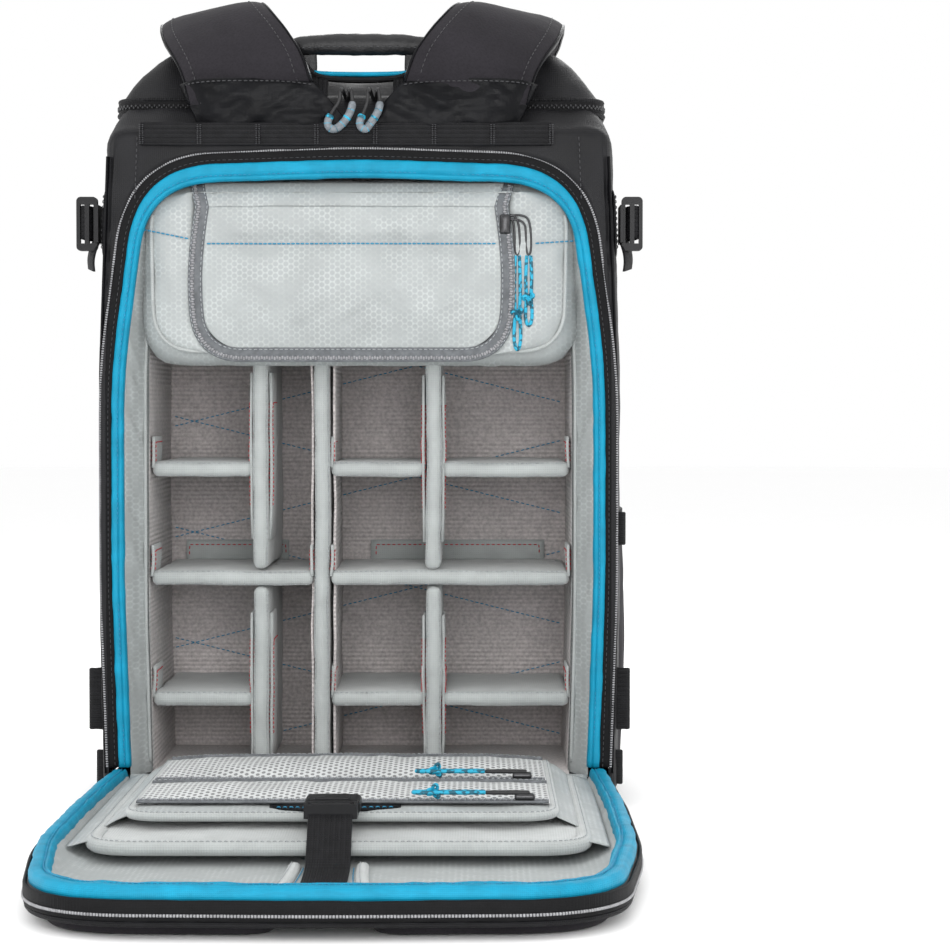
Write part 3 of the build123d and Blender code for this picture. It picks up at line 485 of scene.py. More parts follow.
def grid_faces(long, wide):
    """Quads of a grid whose points are written row by row."""
    return [(k, k + 1, k + wide + 1, k + wide)
            for i in range(long - 1) for k in range(i * wide, i * wide + wide - 1)]


def sheet_grid(name, surface, columns, rows, material, body, slot, thick=0.0, offset=-1, **marks):
    """Surface from surface(u, v) with u and v from 0 to 1, given a thickness where thick is more than 0.

    The thickness lies away from the normals, or about the middle with offset 0.
    """
    verts = [surface(i / columns, j / rows) for i in range(columns + 1) for j in range(rows + 1)]
    piece = solid(name, verts, grid_faces(columns + 1, rows + 1), material, body, slot, **marks)
    if thick:
        modifier = piece.modifiers.new("thick", "SOLIDIFY")
        modifier.thickness = thick * MM
        modifier.offset = offset
        bpy.context.view_layer.update()
        graph = bpy.context.evaluated_depsgraph_get()
        piece.data = bpy.data.meshes.new_from_object(piece.evaluated_get(graph))
        piece.modifiers.clear()
        for face in piece.data.polygons:
            face.use_smooth = True
    return piece


def stitches(name, path, out, material, body, slot, length=2.6, gap=1.3, wide=0.55, lift=0.1):
    """Row of thread stitches along a path; out is the direction away from the cloth, or gives it for an index."""
    line = even(path, length + gap)
    groups = []
    for i, (a, b) in enumerate(zip(line, line[1:])):
        along, up = (b - a).normalized(), out(i) if callable(out) else Vector(out).normalized()
        side = along.cross(up).normalized()
        rings = []
        for reach, high in ((0, 0.0), (0.25, wide), (0.75, wide), (1, 0.0)):
            at = a + along * (length * reach) + up * (lift + high)
            spread = wide * (0.5 if reach in (0, 1) else 1)
            rings.append([at - side * spread, at + up * spread * 0.6, at + side * spread, at - up * wide])
        groups.append(rings)
    return lumps(name, groups, material, body, slot)


def coil(name, path, material, body, slot, pitch=2.2, wide=2.3, high=1.5, sway=0.35):
    """Zipper coil: small rounded teeth that sway left and right in turn, along (point, across, out)."""
    points = [p for p, _, _ in path]
    lengths = lengths_along(points)
    wanted = [(i + 0.5) * pitch for i in range(int(lengths[-1] / pitch))]
    groups = []
    for i, (k, point) in enumerate(walk(points, lengths, wanted)):
        across, out = path[k][1], path[k][2]
        along = (points[k + 1] - points[k]).normalized()
        lean = sway * wide * (1 if i % 2 else -1)
        groups.append([
            [point + along * (pitch * step) + across * (u * wide * spread + lean) + out * (w * high * tall)
             for u, w in ((-0.5, 0), (-0.5, 0.6), (-0.25, 1), (0.25, 1), (0.5, 0.6), (0.5, 0))]
            for step, tall, spread in ((-0.42, 0.35, 0.8), (-0.2, 1.0, 1.0), (0.2, 1.0, 1.0), (0.42, 0.35, 0.8))])
    return lumps(name, groups, material, body, slot)


def ribbon(name, points, across, wide, thick, material, body, slot, step=3.0, **marks):
    """Flat webbing along a centreline."""
    line = even(points, step)
    across = Vector(across).normalized()
    path = [(p, across, along.cross(across).normalized()) for p, along in zip(line, headings(line))]
    return sweep(name, path, rounded_section(wide, thick, thick * 0.45), material, body, slot, **marks)


def bound_edge(name, points, radius, material, body, slot):
    """Folded binding tape along an edge: a flattened tube with its stitches."""
    line = even(points, 3.0)
    path = [(p, along.cross(UP).normalized(), UP) for p, along in zip(line, headings(line))]
    sweep(name, path, circle(radius, 12, 1.25), material, body, slot)
    seam = [p + UP * (radius - 0.15) + a * radius * 0.5 for p, a, _ in path]
    stitches(f"{name}_seam", seam, UP, GREY_THREAD, body, slot, 2.2, 1.2, 0.3)


def shrunk(line, centre, share):
    """Points moved toward a centre."""
    return [p + (centre - p) * share for p in line]


def points_of(path):
    """The points of a path of (point, across, out) triples."""
    return [p for p, _, _ in path]


# ---- outlines shared with the CAD model -------------------------------------------------------
ARCH = [(160, 0), (164, 120), (164, 262), (146, 398), (0, 403), (-146, 398), (-164, 262), (-164, 120), (-160, 0)]
SHELL = [(0, 168), (120, 171), (290, 171), (452, 165)]      # height, half width
ARCH_LINE = rounded_path(ARCH, [500, 500, 62, 900, 62, 500, 500], 4.0)
LAST = len(ARCH_LINE) - 1


def outward(line):
    """Unit normals that point out of a line that runs up on the right and down on the left."""
    return [Vector((along.y, -along.x)) for along in headings(line)]


ARCH_OUT = outward(ARCH_LINE)


def body_arch(grow=0.0, y=0.0):
    """Path along the opening of the bag: grown outward, y behind the rim plane."""
    return [(Vector((p.x + n.x * grow, RIM_Y + y, HINGE_Z + p.y + n.y * grow)), Vector((n.x, 0, n.y)), BACK)
            for p, n in zip(ARCH_LINE, ARCH_OUT)]


def lid_arch(grow=0.0, z=0.0, start=1.5):
    """Path along the edge of the open lid at a height."""
    return [(Vector((p.x + n.x * grow, RIM_Y - max(p.y + n.y * grow, start), z)), Vector((n.x, -n.y, 0)), UP)
            for p, n in zip(ARCH_LINE, ARCH_OUT)]


def half_width(z):
    """Half width of the shell at a height."""
    for (z0, w0), (z1, w1) in zip(SHELL, SHELL[1:]):
        if z <= z1:
            return w0 + (w1 - w0) * max(0.0, (z - z0)) / (z1 - z0)
    return SHELL[-1][1]


# ---- cords ----------------------------------------------------------------------------------
CORD = 2.4


def nurbs(name, points, scale):
    """Smooth curve that starts and ends on the first and last of its control points."""
    curve = bpy.data.curves.new(name, "CURVE")
    curve.dimensions = "3D"
    spline = curve.splines.new("NURBS")
    spline.points.add(len(points) - 1)
    for control, point in zip(spline.points, points):
        control.co = (*(Vector(point) * scale), 1)
    spline.order_u = 3
    spline.use_endpoint_u = True
    curve.resolution_u = 8
    return curve


def pull_cord(node, body, material, length, points, pieces=()):
    """Limp cord along the route of its CAD solid."""
    curve = nurbs(node, points, MM)
    curve.bevel_resolution = 3
    curve.bevel_depth = CORD / 2 * MM
    curve.use_fill_caps = True
    curve.materials.append(material)
    cord = placed(f"{node}_rope", curve)
    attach(cord, body)
    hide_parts(node)
    Vector(points[0]) * MM


def centreline(points):
    """Points along the line that a cord with this route follows."""
    holder = bpy.data.objects.new("line", nurbs("line", points, 1.0))
    line = [v.co.copy() for v in bpy.data.meshes.new_from_object(holder).vertices]
    bpy.data.objects.remove(holder)
    return line


def tube(name, line, radius, material, body, slot):
    """Round sleeve along a line, rounded at both ends."""
    line = even(line, 1.2)
    sides = [along.cross(BEHIND).normalized() for along in headings(line)]
    path = [(p, across, across.cross(along)) for p, across, along in zip(line, sides, headings(line))]

    def section(i):
        end = min(i, len(line) - 1 - i)
        return circle(radius * (0.7 if end == 0 else 0.95 if end == 1 else 1.0), 12)
    return sweep(name, path, section, material, body, slot)


def knot(name, centre, size, body, turn):
    """Overhand knot: a short cyan cord wound about itself."""
    turns = [2 * math.pi * k / 48 for k in range(49)]
    line = [Vector(centre) + Vector((
        size * (math.sin(t) + 1.4 * math.sin(2 * t + turn)) * 0.5, -size * 0.45 * math.sin(3 * t) - 0.4,
        size * (math.cos(t) - 1.4 * math.cos(2 * t + turn)) * 0.5)) for t in turns]
    return tube(name, line, CORD * 0.45, CYAN_CORD, body, "cyan_cord")


TOP_PULL_Z = cad("top_sliders")[1].z - 2
pouch_low, pouch_high = cad("pouch_body")
SLIDER_FOOT = cad("pouch_slider")[0].z
MESH_BASE = cad("sleeve_panel_upper")[1].z + 0.2

for label, x, lean, length in (("left", -8.0, -9.0, 62.3), ("right", 10.0, -6.0, 58.7)):
    route = [(x + dx, y, TOP_PULL_Z + dz) for dx, y, dz in (
        (3.4, -109, 1), (5.2, -110, -6), (3.5, -110.5, -14), (-2, -111, -22), (lean + 1, -111.5, -26),
        (lean - 3.6, -111.5, -22), (lean + 0.5, -111, -13), (-3, -110, -6), (-3.4, -109, 1))]
    line = centreline(route)
    sleeve = tube(f"top_cord_tube_{label}", line[int(len(line) * 0.10):int(len(line) * 0.74)], 2.6, TUBE, "bag",
                  "slider_metal")
    rings = [tube(f"top_cord_band_{label}_{k}", line[int(len(line) * t):int(len(line) * t) + 4], 2.85, CYAN_CORD,
                  "bag", "cyan_cord") for k, t in enumerate((0.16, 0.25, 0.34, 0.43, 0.52, 0.61, 0.69))]
    pull_cord(f"top_cord_{label}", "bag", BLACK_CORD, length, route, [sleeve, *rings])

WIRE_PLACES = (("left", 105.0, 62.0, 125.9), ("right", 112.5, 46.0, 94.1))      # x, drop and length of the cords
for label, x, drop, length in WIRE_PLACES:
    start, y = SLIDER_FOOT - 1, pouch_low.y - 4.6
    route = [(x + dx, y, start - drop * share) for dx, share in (
        (-1.3, 0), (-2.2, 0.3), (-1.4, 0.62), (-2.4, 0.86), (-1.2, 1), (1.4, 1), (2.5, 0.84), (1.4, 0.6), (2.2, 0.3),
        (1.3, 0))]
    tie = knot(f"pouch_cord_knot_{label}", (x, y - 0.6, start - drop * 0.62), 3.4, "pouch_pull", 0.8)
    pull_cord(f"pouch_cord_{label}", "pouch_pull", CYAN_CORD, length, route, [tie])

MESH_PLACES = {"near": 112.0, "far": 196.0}
for label, place in MESH_PLACES.items():
    y, x, z = RIM_Y - place - 3.3, 83.0, MESH_BASE + 7.6
    route = [(x + dx, y + dy, z) for dx, dy in (
        (0, 1.4), (-12, 2.6), (-25, 1.2), (-37, 2.2), (-42, 1.2), (-42, -1.6), (-37, -2.8), (-25, -1.6), (-12, -3),
        (0, -1.4))]
    tie = knot(f"mesh_cord_knot_{label}", (x - 30, y, z + 0.6), 3.6, f"mesh_pull_{label}", 2.1)
    pull_cord(f"mesh_cord_{label}", f"mesh_pull_{label}", CYAN_CORD, 86.4, route, [tie])


# ---- rim of the bag: blue binding, zipper, grey border inside --------------------------------
TRIM_TOP, TRIM_SIDE = 12.0, 8.2         # visible width of the binding over the top and down the sides
TRIM_WIDTH = [TRIM_SIDE + (TRIM_TOP - TRIM_SIDE) * abs(n.y) ** 1.5 for n in ARCH_OUT]
FLOOR_Z, CEILING = 22.0, 436.0


def trim_section(wide, high):
    """Folded binding: flat base, rolled edges, a dip along the stitches near one edge."""
    w = wide / 2
    return [
        (-w, 0), (-w - 0.2, high * 0.45), (-w + 0.5, high * 0.82), (-w + 1.7, high), (-w + 2.8, high * 0.93),
        (-w + 3.3, high * 0.8), (-w + 3.9, high * 0.9), (0, high * 0.98), (w - 2.6, high * 0.95), (w - 1, high * 0.8),
        (w, high * 0.45), (w, 0)]


def body_trim_section(i):
    return [(u - TRIM_WIDTH[i] / 2, w) for u, w in trim_section(TRIM_WIDTH[i] + 0.6, 7.0)]


body_binding = sweep("body_binding", body_arch(0, 7.6), body_trim_section, BINDING, "bag", "binding",
                     replaces="body_trim")
crumple(body_binding, 0.75, 16, 1, lambda p: 1 if p.y < RIM_Y + 6 else 0)
stitches("body_binding_seam", [p - a * (wide - 3.6) for (p, a, _), wide in zip(body_arch(0, 1.5), TRIM_WIDTH)], BACK,
         BLUE_THREAD, "bag", "binding", 2.2, 1.0, 0.28)
sweep("body_zipper_tape", body_arch(3.4, 2.6), rounded_section(8.4, 2.2, 0.9), *BAG_TAPE, replaces="body_zipper")
coil("body_zipper_coil", body_arch(6.9, 1.5), *BAG_TEETH, 1.6, 1.5, 0.8, 0)
stitches("body_zipper_seam", points_of(body_arch(1.6, 1.4)), BACK, BLACK_THREAD, "bag", "coil_zipper", 2.4, 1.3, 0.25)


def inner_half(z):
    """Half width of the lined space at a height."""
    return half_width(z) - 29.0


def border_point(i, t):
    """Point between the binding's inner edge and the lining, for point i of the arch."""
    p, n = ARCH_LINE[i], ARCH_OUT[i]
    inner = 0.4 - TRIM_WIDTH[i]
    near = Vector((p.x + n.x * inner, RIM_Y + 6.5, HINGE_Z + p.y + n.y * inner))
    z = min(near.z + max(0.0, n.y) * 16, CEILING)
    wide = inner_half(z)
    share = min(1.0, abs(n.x) * 1.4)
    x = near.x * (1 - share) + math.copysign(wide, near.x) * share if abs(near.x) > 1 else near.x
    far = Vector((max(-wide, min(wide, x)), RIM_Y + 32, z))
    point = near.lerp(far, t)
    point.y = near.y + (far.y - near.y) * (t * t * (3 - 2 * t) * 0.5 + t * 0.5)
    return point


BORDER_STEPS = 14
verts = []
for i, drop in [(0, 12.0), *[(i, 0.0) for i in range(LAST + 1)], (LAST, 12.0)]:
    for k in range(BORDER_STEPS + 1):
        p = border_point(i, k / BORDER_STEPS) - Vector((0, 0, drop))
        slant = p.z + 1.1 * (p.y - RIM_Y)
        fold = wobble((0, slant * 1.5, p.z * 0.25), 17, 4) + 0.6 * wobble((p.x * 0.5, p.y, slant), 9, 5)
        depth = 1.7 * math.sin(math.pi * k / BORDER_STEPS)
        verts.append(p + Vector((-math.copysign(1, p.x) * fold * depth, -0.5 * fold * depth, 0)))
solid("inner_border", verts, ring_faces(LAST + 3, BORDER_STEPS + 1, False), *POUCH)
rim_seam = [(border_point(i, 0.80) + Vector((-math.copysign(0.4, p.x), -0.6, 0)), Vector((n.x, 0, n.y)), BACK)
            for i, (p, n) in enumerate(zip(ARCH_LINE, ARCH_OUT))]
sweep("inner_border_piping", rim_seam, circle(1.2), *POUCH_PIPING)


# ---- lining -----------------------------------------------------------------------------------
LINING_Y = cad("loop_liner")[1].y - 2.0           # face of the lining on the front wall
LINING_BACK = RIM_Y + 28.0


def lined_height(v):
    return FLOOR_Z - 1 + (CEILING - FLOOR_Z + 2) * v


def lined_depth(v, start):
    return start + (LINING_Y + 1 - start) * v


def back_lining_y(x, z):
    return LINING_Y + 0.7 * wobble((x, 0, z), 40, 8)


for side, label in SIDES:
    def side_lining(u, v):
        y, z = lined_depth(u, LINING_BACK), lined_height(v)
        return side * (inner_half(z) + 0.8 * wobble((0, y, z), 45, 5 + side)), y, z
    sheet_grid(f"lining_{label}", side_lining, 30, 60, *LINING, replaces="loop_liner" if side > 0 else ())


def back_lining(u, v):
    z = lined_height(v)
    x = (u * 2 - 1) * (inner_half(z) + 1)
    return x, back_lining_y(x, z), z


def floor_lining(u, v):
    x, y = (u * 2 - 1) * (inner_half(0) + 1), lined_depth(v, RIM_Y + 7)
    return x, y, FLOOR_Z + 0.5 * wobble((x, y, 0), 40, 9)


def ceiling_lining(u, v):
    x, y = (u * 2 - 1) * (inner_half(CEILING) + 1), lined_depth(v, LINING_BACK)
    return x, y, CEILING + 0.4 * wobble((x, y, 0), 40, 10)


sheet_grid("lining_back", back_lining, 60, 80, *LINING)
sheet_grid("lining_floor", floor_lining, 50, 24, *LINING)
sheet_grid("lining_top", ceiling_lining, 50, 24, *LINING)

# blue thread that quilts the lining in long lines that cross at a flat angle
half = inner_half(100) - 2
QUILT_RISE = 0.25
for direction, label in ((-1, "down"), (1, "up")):
    for k, z_start in enumerate(range(-60, 460, 80)):
        if direction > 0:
            z_start -= 2 * half * QUILT_RISE * 0.1
        places = [(x, z_start + direction * QUILT_RISE * (x + half)) for x in
                  (-half + 2 * half * i / 60 for i in range(61))]
        path = [(x, back_lining_y(x, z) - 0.7, z) for x, z in places if FLOOR_Z + 4 < z < CEILING - 4]
        if len(path) > 4:
            stitches(f"quilting_{k}_{label}", path, BACK, BLUE_THREAD, "bag", "loop_fabric", 2.6, 1.2, 0.38)


# ---- dividers -----------------------------------------------------------------------------------
DIVIDER = 10.0


def thin_axis(low, high):
    """Axis across a divider: x where it stands upright, z where it is a shelf."""
    return 0 if high[0] - low[0] < high[2] - low[2] else 2


def divider_bend(point, thin, seed):
    """How far a divider bends sideways at a point."""
    return 1.5 * wobble((0, point.y * 0.4, point.z) if thin == 0 else (point.x, point.y * 0.4, 0), 75, seed + 4)


def divider(name, low, high, seed, seam_low, seam_high, seam_name=None, replaces=()):
    """Padded panel that crowns between two raised seams along its front edge."""
    thin = thin_axis(low, high)
    long = 2 - thin
    panel = padded_box(name, low, high, 4.2, *DIVIDER_CLOTH, (0.8, 0.6, 0) if thin == 0 else (0, 0.6, 0.8), 6.0,
                       replaces=replaces, fill=0.7)
    crumple(panel, 0.55, 17, seed)
    for vertex in panel.data.vertices:
        point = vertex.co / MM
        share = max(0.0, min(1.0, (point[long] - low[long]) / (high[long] - low[long])))
        vertex.co[thin] += divider_bend(point, thin, seed) * math.sin(math.pi * share) * MM
    for k, at in ((0, seam_low[thin] + 1.0), (1, seam_high[thin] - 1.0)):
        path = []
        for i in range(27):
            point = Vector((0, seam_low[1] + 1.3, 0))
            point[thin] = at
            point[long] = seam_low[long] + 3 + (seam_high[long] - seam_low[long] - 6) * i / 26
            point[thin] += divider_bend(point, thin, seed) * math.sin(math.pi * i / 26)
            path.append(point)
        out = Vector((0, -1, 0))
        out[thin] = 0.8 if k else -0.8
        stitches(f"{seam_name or name}_seam_{k}", path, out, *GREY_SEAM, 2.2, 1.2, 0.3, 0.2)


def end_tab(name, x, side, y_low, y_high, z_low, z_high, seed):
    """Fastening tab turned up at the end of a shelf, with a square of red stitching."""
    def surface(u, v):
        y, z = y_low + (y_high - y_low) * u, z_low + (z_high - z_low) * v
        lean = 1.1 * math.sin(v * 2.2) + 0.8 * wobble((0, y, z), 14, seed)
        return x + side * lean * (1 - v * 0.4), y, z
    sheet_grid(name, surface, 22, 6, *DIVIDER_CLOTH, 1.8, 0, fill=0.4)
    edge = [(0.07, 0.2 + 0.1 * k) for k in range(7)] + [(0.07 + 0.086 * k, 0.82) for k in range(1, 11)]
    for face in (-1, 1):
        out = Vector((side * face, -0.2, 0))
        seam = [Vector(surface(u, v)) + out * 0.95 for u, v in edge]
        stitches(f"{name}_stitches_{'in' if face > 0 else 'out'}", seam,
                 out, *RED_SEAM, 2.0, 1.0, 0.42)


def shelf(name, low, high, seed, replaces=()):
    """Level divider with its two tabs."""
    low, high = Vector(low), Vector(high)
    top = Vector((high.x, high.y, low.z + DIVIDER))
    divider(name, low + ACROSS * 0.6, top - ACROSS * 0.6, seed, low, top, None, replaces)
    for k, (x, side) in enumerate(((low.x + 0.8, 1), (high.x - 0.8, -1))):
        end_tab(f"{name}_tab_{k}", x, side, low.y + 1, low.y + 40, low.z + DIVIDER - 4, high.z + 1, seed + 3 * k)


tall_low, tall_high = cad("divider_tall")
upper_low, upper_high = cad("dividers_upright_upper")
lower_low, lower_high = cad("dividers_upright_lower")
divider("divider_tall_pad", tall_low, tall_high, 11, tall_low, tall_high, "divider_tall", "divider_tall")
COLUMNS = (upper_low.x + DIVIDER / 2, (tall_low.x + tall_high.x) / 2, upper_high.x - DIVIDER / 2)
for k, x in ((0, COLUMNS[0]), (1, COLUMNS[2])):
    for name, low, high, seed in (("upper", upper_low, upper_high, 20), ("lower", lower_low, lower_high, 13)):
        low, high = Vector((x - DIVIDER / 2, low.y, low.z)), Vector((x + DIVIDER / 2, high.y, high.z))
        divider(f"divider_{name}_{k}", low, high, seed + 3 * k, low, high,
                replaces=f"dividers_upright_{name}" if k == 0 else ())

# fastening strips folded out at the sides of the upright dividers, top and bottom
for k, (x, z_low, z_high) in enumerate((
    (COLUMNS[0], 178, 290), (COLUMNS[2], 176, 288), (COLUMNS[0], 26, 128), (COLUMNS[2], 26, 126),
)):
    for side, label in SIDES:
        end_tab(f"upright_tab_{k}_{label}", x + side * 5.9, side, tall_low.y + 5, tall_low.y + 44, z_low, z_high,
                30 + k + side)
for side, label in SIDES:
    def strip(u, v):
        y, z = tall_low.y + 8 + (LINING_Y - tall_low.y - 14) * u, tall_low.z + (tall_high.z - tall_low.z) * v
        return COLUMNS[1] + side * (6.0 + 1.4 * (1 - u) + 0.8 * wobble((0, y, z), 30, 40 + side)), y, z
    sheet_grid(f"tall_strip_{label}", strip, 14, 60, *LINING, 1.5)

for seed, (_, label) in zip((21, 22), SIDES):
    shelf(f"shelf_middle_{label}_pad", *cad(f"shelf_middle_{label}"), seed, f"shelf_middle_{label}")
short_low, short_high = cad("shelves_short")
TAB_TOP = 16.0
gap = DIVIDER / 2 + 0.5
spans = ((short_low.x, COLUMNS[0] - gap), (COLUMNS[1] + gap, COLUMNS[2] - gap), (COLUMNS[2] + gap, short_high.x))
for row, base in enumerate((short_low.z, short_high.z - TAB_TOP - DIVIDER)):
    for k, (left, right) in enumerate(spans):
        shelf(f"shelf_short_{row}_{k}", (left, short_low.y, base), (right, short_high.y, base + DIVIDER + TAB_TOP),
              23 + 5 * row + k, "shelves_short" if row == k == 0 else ())

# rear tabs of the middle shelves, flat on the lining with red stitches
for k, (left, right) in enumerate(((-131, -57), (2, 127))):
    def rear(u, v):
        x, z = left + (right - left) * u, cad("shelf_middle_left")[0].z + DIVIDER - 1 + 15 * v
        return x, LINING_Y - 3.4 - 1.4 * math.sin(v * 3) + 0.5 * wobble((x, 0, z), 12, 50), z
    sheet_grid(f"rear_tab_{k}", rear, 26, 6, *DIVIDER_CLOTH, 1.8, 0)
    edge = [*((0.03, 0.3 + 0.1 * k) for k in range(5)), *((0.03 + 0.94 * k / 30, 0.78) for k in range(31)),
            *((0.97, 0.7 - 0.1 * k) for k in range(5))]
    stitches(f"rear_tab_{k}_stitches", [Vector(rear(u, v)) + BACK for u, v in edge], BACK, *RED_SEAM, 2.4, 1.4, 0.4)


# ---- pouch: puffed box with a zipped flap in its face -------------------------------------------
_, flap_high = cad("pouch_flap")
zip_low, zip_high = cad("pouch_zipper")
POUCH_FACE = pouch_low.y
AROUND = 150
HOLE_TOP, HOLE_FOOT = min(flap_high.z + 14, pouch_high.z - 5), zip_low.z - 9.0
HOLE = [(zip_high.x, HOLE_TOP), (zip_high.x, HOLE_FOOT), (zip_low.x, HOLE_FOOT), (zip_low.x, HOLE_TOP)]
hole = loop_points(HOLE, [3, 36, 36, 3], AROUND)
FLAP_DROP = 8.0          # how much lower than its CAD solid the flap's cloth hangs
FLAP_CORNER = 30.0
FLAP_SEAM = 0.74         # height of the blue seam, as a share of the flap
FLAP_BOW = 4.6           # how far the sides of the zipper bow outward
FLAP_HALF, FLAP_MIDDLE = (zip_high.x - zip_low.x) / 2, (zip_high.x + zip_low.x) / 2


def pouch_outline(inset, low_drop=0.0):
    wide = pouch_high.x + 12 - inset
    low, high = pouch_low.z - 3 + inset - low_drop, pouch_high.z + 3 - inset
    return loop_points([(wide, high), (wide - 2, low), (-wide + 2, low), (-wide, high)], [24, 30, 30, 24], AROUND)


def bulge(x, z):
    """How far the front of the pouch stands out at a place, in millimetres."""
    u, v = x / (pouch_high.x + 6), (z - 358) / 60
    roll = 11.0 * max(0.0, (z - flap_high.z) / 20) ** 2
    return 6.5 * max(0.0, 1 - u * u) ** 0.6 * max(0.0, 1 - 0.75 * v * v) - roll


def bow(z):
    """Sideways bow of the zipper at a height."""
    share = (z - zip_low.z + FLAP_DROP) / (flap_high.z - zip_low.z + FLAP_DROP)
    return FLAP_BOW * math.sin(math.pi * max(0.0, min(1.0, share))) - 2.2 + 0.25 * max(0.0, z - flap_high.z)


def pouch_folds(x, z, large, small):
    """Slanting folds of two sizes."""
    return large * wobble((x * 0.8, 0, z + 0.5 * x), 24, 64) + small * wobble((x * 0.7, 0, z - 0.6 * x), 11, 65)


rings = []
for inset, back in ((16, 1.0), (6, 4.0), (1.0, 10.0), (0, 20.0), (-1, 34.0), (-1.5, 48.0), (-1, 60.0), (1.0, 66.0),
                    (4.0, 71.0), (8.0, 74.0)):
    front, y, ring = back > 30, pouch_high.y - back, []
    for p in pouch_outline(inset, 3 if front else 0):
        fold = wobble((p.x, y, p.y), 17, 60) + 0.7 * wobble((p.x * 0.6, y, p.y + 0.7 * p.x), 9, 61)
        swell = 0.3 * bulge(p.x, p.y) if back > 65 else 0
        ring.append(Vector((p.x, y - swell - (1.2 if front else 0.3) * fold, p.y)))
    rings.append(ring)
rim_ring = pouch_outline(8.0, 3)
for k in range(1, 9):
    t, ring = k / 8, []
    for a, b in zip(rim_ring, hole):
        p = a.lerp(b, t)
        fold = 1.8 * wobble((p.x, 0, p.y), 19, 61) + 1.1 * wobble((p.x * 0.5, 0, p.y + p.x), 10, 63)
        out = 2.6 * math.sin(math.pi * min(1.0, t * 1.02)) + (0.35 + 0.65 * t) * bulge(p.x, p.y)
        ring.append(Vector((p.x, POUCH_FACE - out - math.sin(math.pi * t) * fold, p.y)))
    rings.append(ring)
for back, widen in ((3.0, 1.0), (30.0, 1.06), (66.0, 1.06)):
    rings.append([Vector((p.x * widen, POUCH_FACE + back, p.y)) for p in hole])
pouch = loft("pouch_cloth", rings, *POUCH, replaces="pouch_body", fill=0.75)
crumple(pouch, 0.9, 12, 62, lambda p: 1 if p.y < POUCH_FACE + 40 and abs(p.x) > 60 else 0.6)


def flap_path(inset, lift):
    """Path down the left side of the flap, along its foot and up its right side."""
    left, right, low, top = zip_low.x + inset, zip_high.x - inset, zip_low.z - FLAP_DROP + inset, flap_high.z + 15
    line = rounded_path([(left, top), (left, low), (right, low), (right, top)], [max(6, FLAP_CORNER - inset)] * 2, 3.0)
    path = []
    for p, along in zip(line, headings(line)):
        x = p.x + bow(p.y) * (p.x - (left + right) / 2) / ((right - left) / 2)
        foot = 0.8 * max(0.0, 1 - (p.y - low) / 12)
        depth = POUCH_FACE - 0.6 - bulge(p.x, p.y) - lift - foot
        path.append((Vector((x, depth, p.y)), Vector((along.y, 0, -along.x)), BACK))
    return path


sweep("pouch_zipper_tape", flap_path(3.4, 0.9), rounded_section(9.6, 1.8, 0.8), GREY_TAPE, "bag", "grey_zipper",
      replaces="pouch_zipper")
coil("pouch_zipper_coil", flap_path(1.4, 1.8), TEETH, "bag", "grey_zipper", 1.7, 2.2, 1.0, 0.12)
for k, inset in enumerate((-0.6, 7.0)):
    stitches(f"pouch_zipper_seam_{k}", points_of(flap_path(inset, 1.7)), BACK, GREY_THREAD, "bag", "grey_zipper", 2.2,
             1.2, 0.3)


def flap_surface(u, v):
    """Face of the pouch flap; v is 0 at its foot and 1 at its hinge."""
    inset = 7.6
    low, high = zip_low.z - FLAP_DROP + inset, flap_high.z - 0.5
    z, half, corner = low + (high - low) * v, FLAP_HALF - inset, FLAP_CORNER - inset
    if z - low < corner:
        half -= corner - math.sqrt(max(0.0, corner**2 - (corner - z + low) ** 2))
    x = FLAP_MIDDLE + (half + bow(z)) * (2 * u - 1)
    edge = (1 - abs(2 * u - 1) ** 6) * (1 - (1 - v) ** 8)
    seam_z = low + (high - low) * FLAP_SEAM
    crease = 3.6 * math.exp(-((z - seam_z) / 6.0) ** 2)
    sag = 2.5 * math.sin(math.pi * min(1.0, max(0.0, (z - low) / (seam_z - low))))
    folds = pouch_folds(x, z, 2.1, 1.1) + 0.35 * wobble((x, 0, z), 5, 66)
    return x, POUCH_FACE - 1.7 - bulge(x, z) - edge * (1.7 + sag - crease + folds), z


sheet_grid("pouch_flap_cloth", flap_surface, 140, 84, RIPSTOP_FRONT, "pouch_flap", "grey_ripstop", 2.2,
           replaces="pouch_flap", fill=0.5)
stitches("pouch_flap_seam", [Vector(flap_surface(u / 90, FLAP_SEAM)) + BACK * 0.2 for u in range(1, 90)], BACK,
         BLUE_THREAD, "pouch_flap", "grey_ripstop", 2.6, 0.5, 0.5)


def pouch_head(u, v):
    """Cloth above the hinge of the flap, up under the binding."""
    z = flap_high.z - 0.5 + 17 * v
    x = FLAP_MIDDLE + (FLAP_HALF - 5.6 + bow(z)) * (2 * u - 1)
    return x, POUCH_FACE - 1.9 - bulge(x, z) - 0.5 * (1 - (1 - v) ** 6) * pouch_folds(x, z, 1.3, 0.7), z


sheet_grid("pouch_head_cloth", pouch_head, 120, 16, *POUCH, 1.2)
for label, start, end in (("left", (-146, 385), (-112, 378)), ("right", (117, 375), (146, 377))):
    line = [Vector(start).lerp(Vector(end), k / 12) for k in range(13)]
    path = [Vector((p.x, POUCH_FACE - 2.4 - 0.75 * bulge(p.x, p.y), p.y)) for p in line]
    stitches(f"pouch_side_seam_{label}", path, BACK, *POUCH_THREAD, 2.6, 0.5, 0.5)
edge_line = [Vector((p.x, POUCH_FACE - 0.5 - 0.35 * bulge(p.x, p.y), p.y)) for p in rim_ring if p.y < 395]
split = max(range(len(edge_line)), key=lambda k: (edge_line[k] - edge_line[k - 1]).length)
edge_line = edge_line[split:] + edge_line[:split]
lower_edge = [(p, along.cross(BACK).normalized(), BACK) for p, along in zip(edge_line, headings(edge_line))]
sweep("pouch_edge_piping", lower_edge, circle(1.3), *POUCH_PIPING)

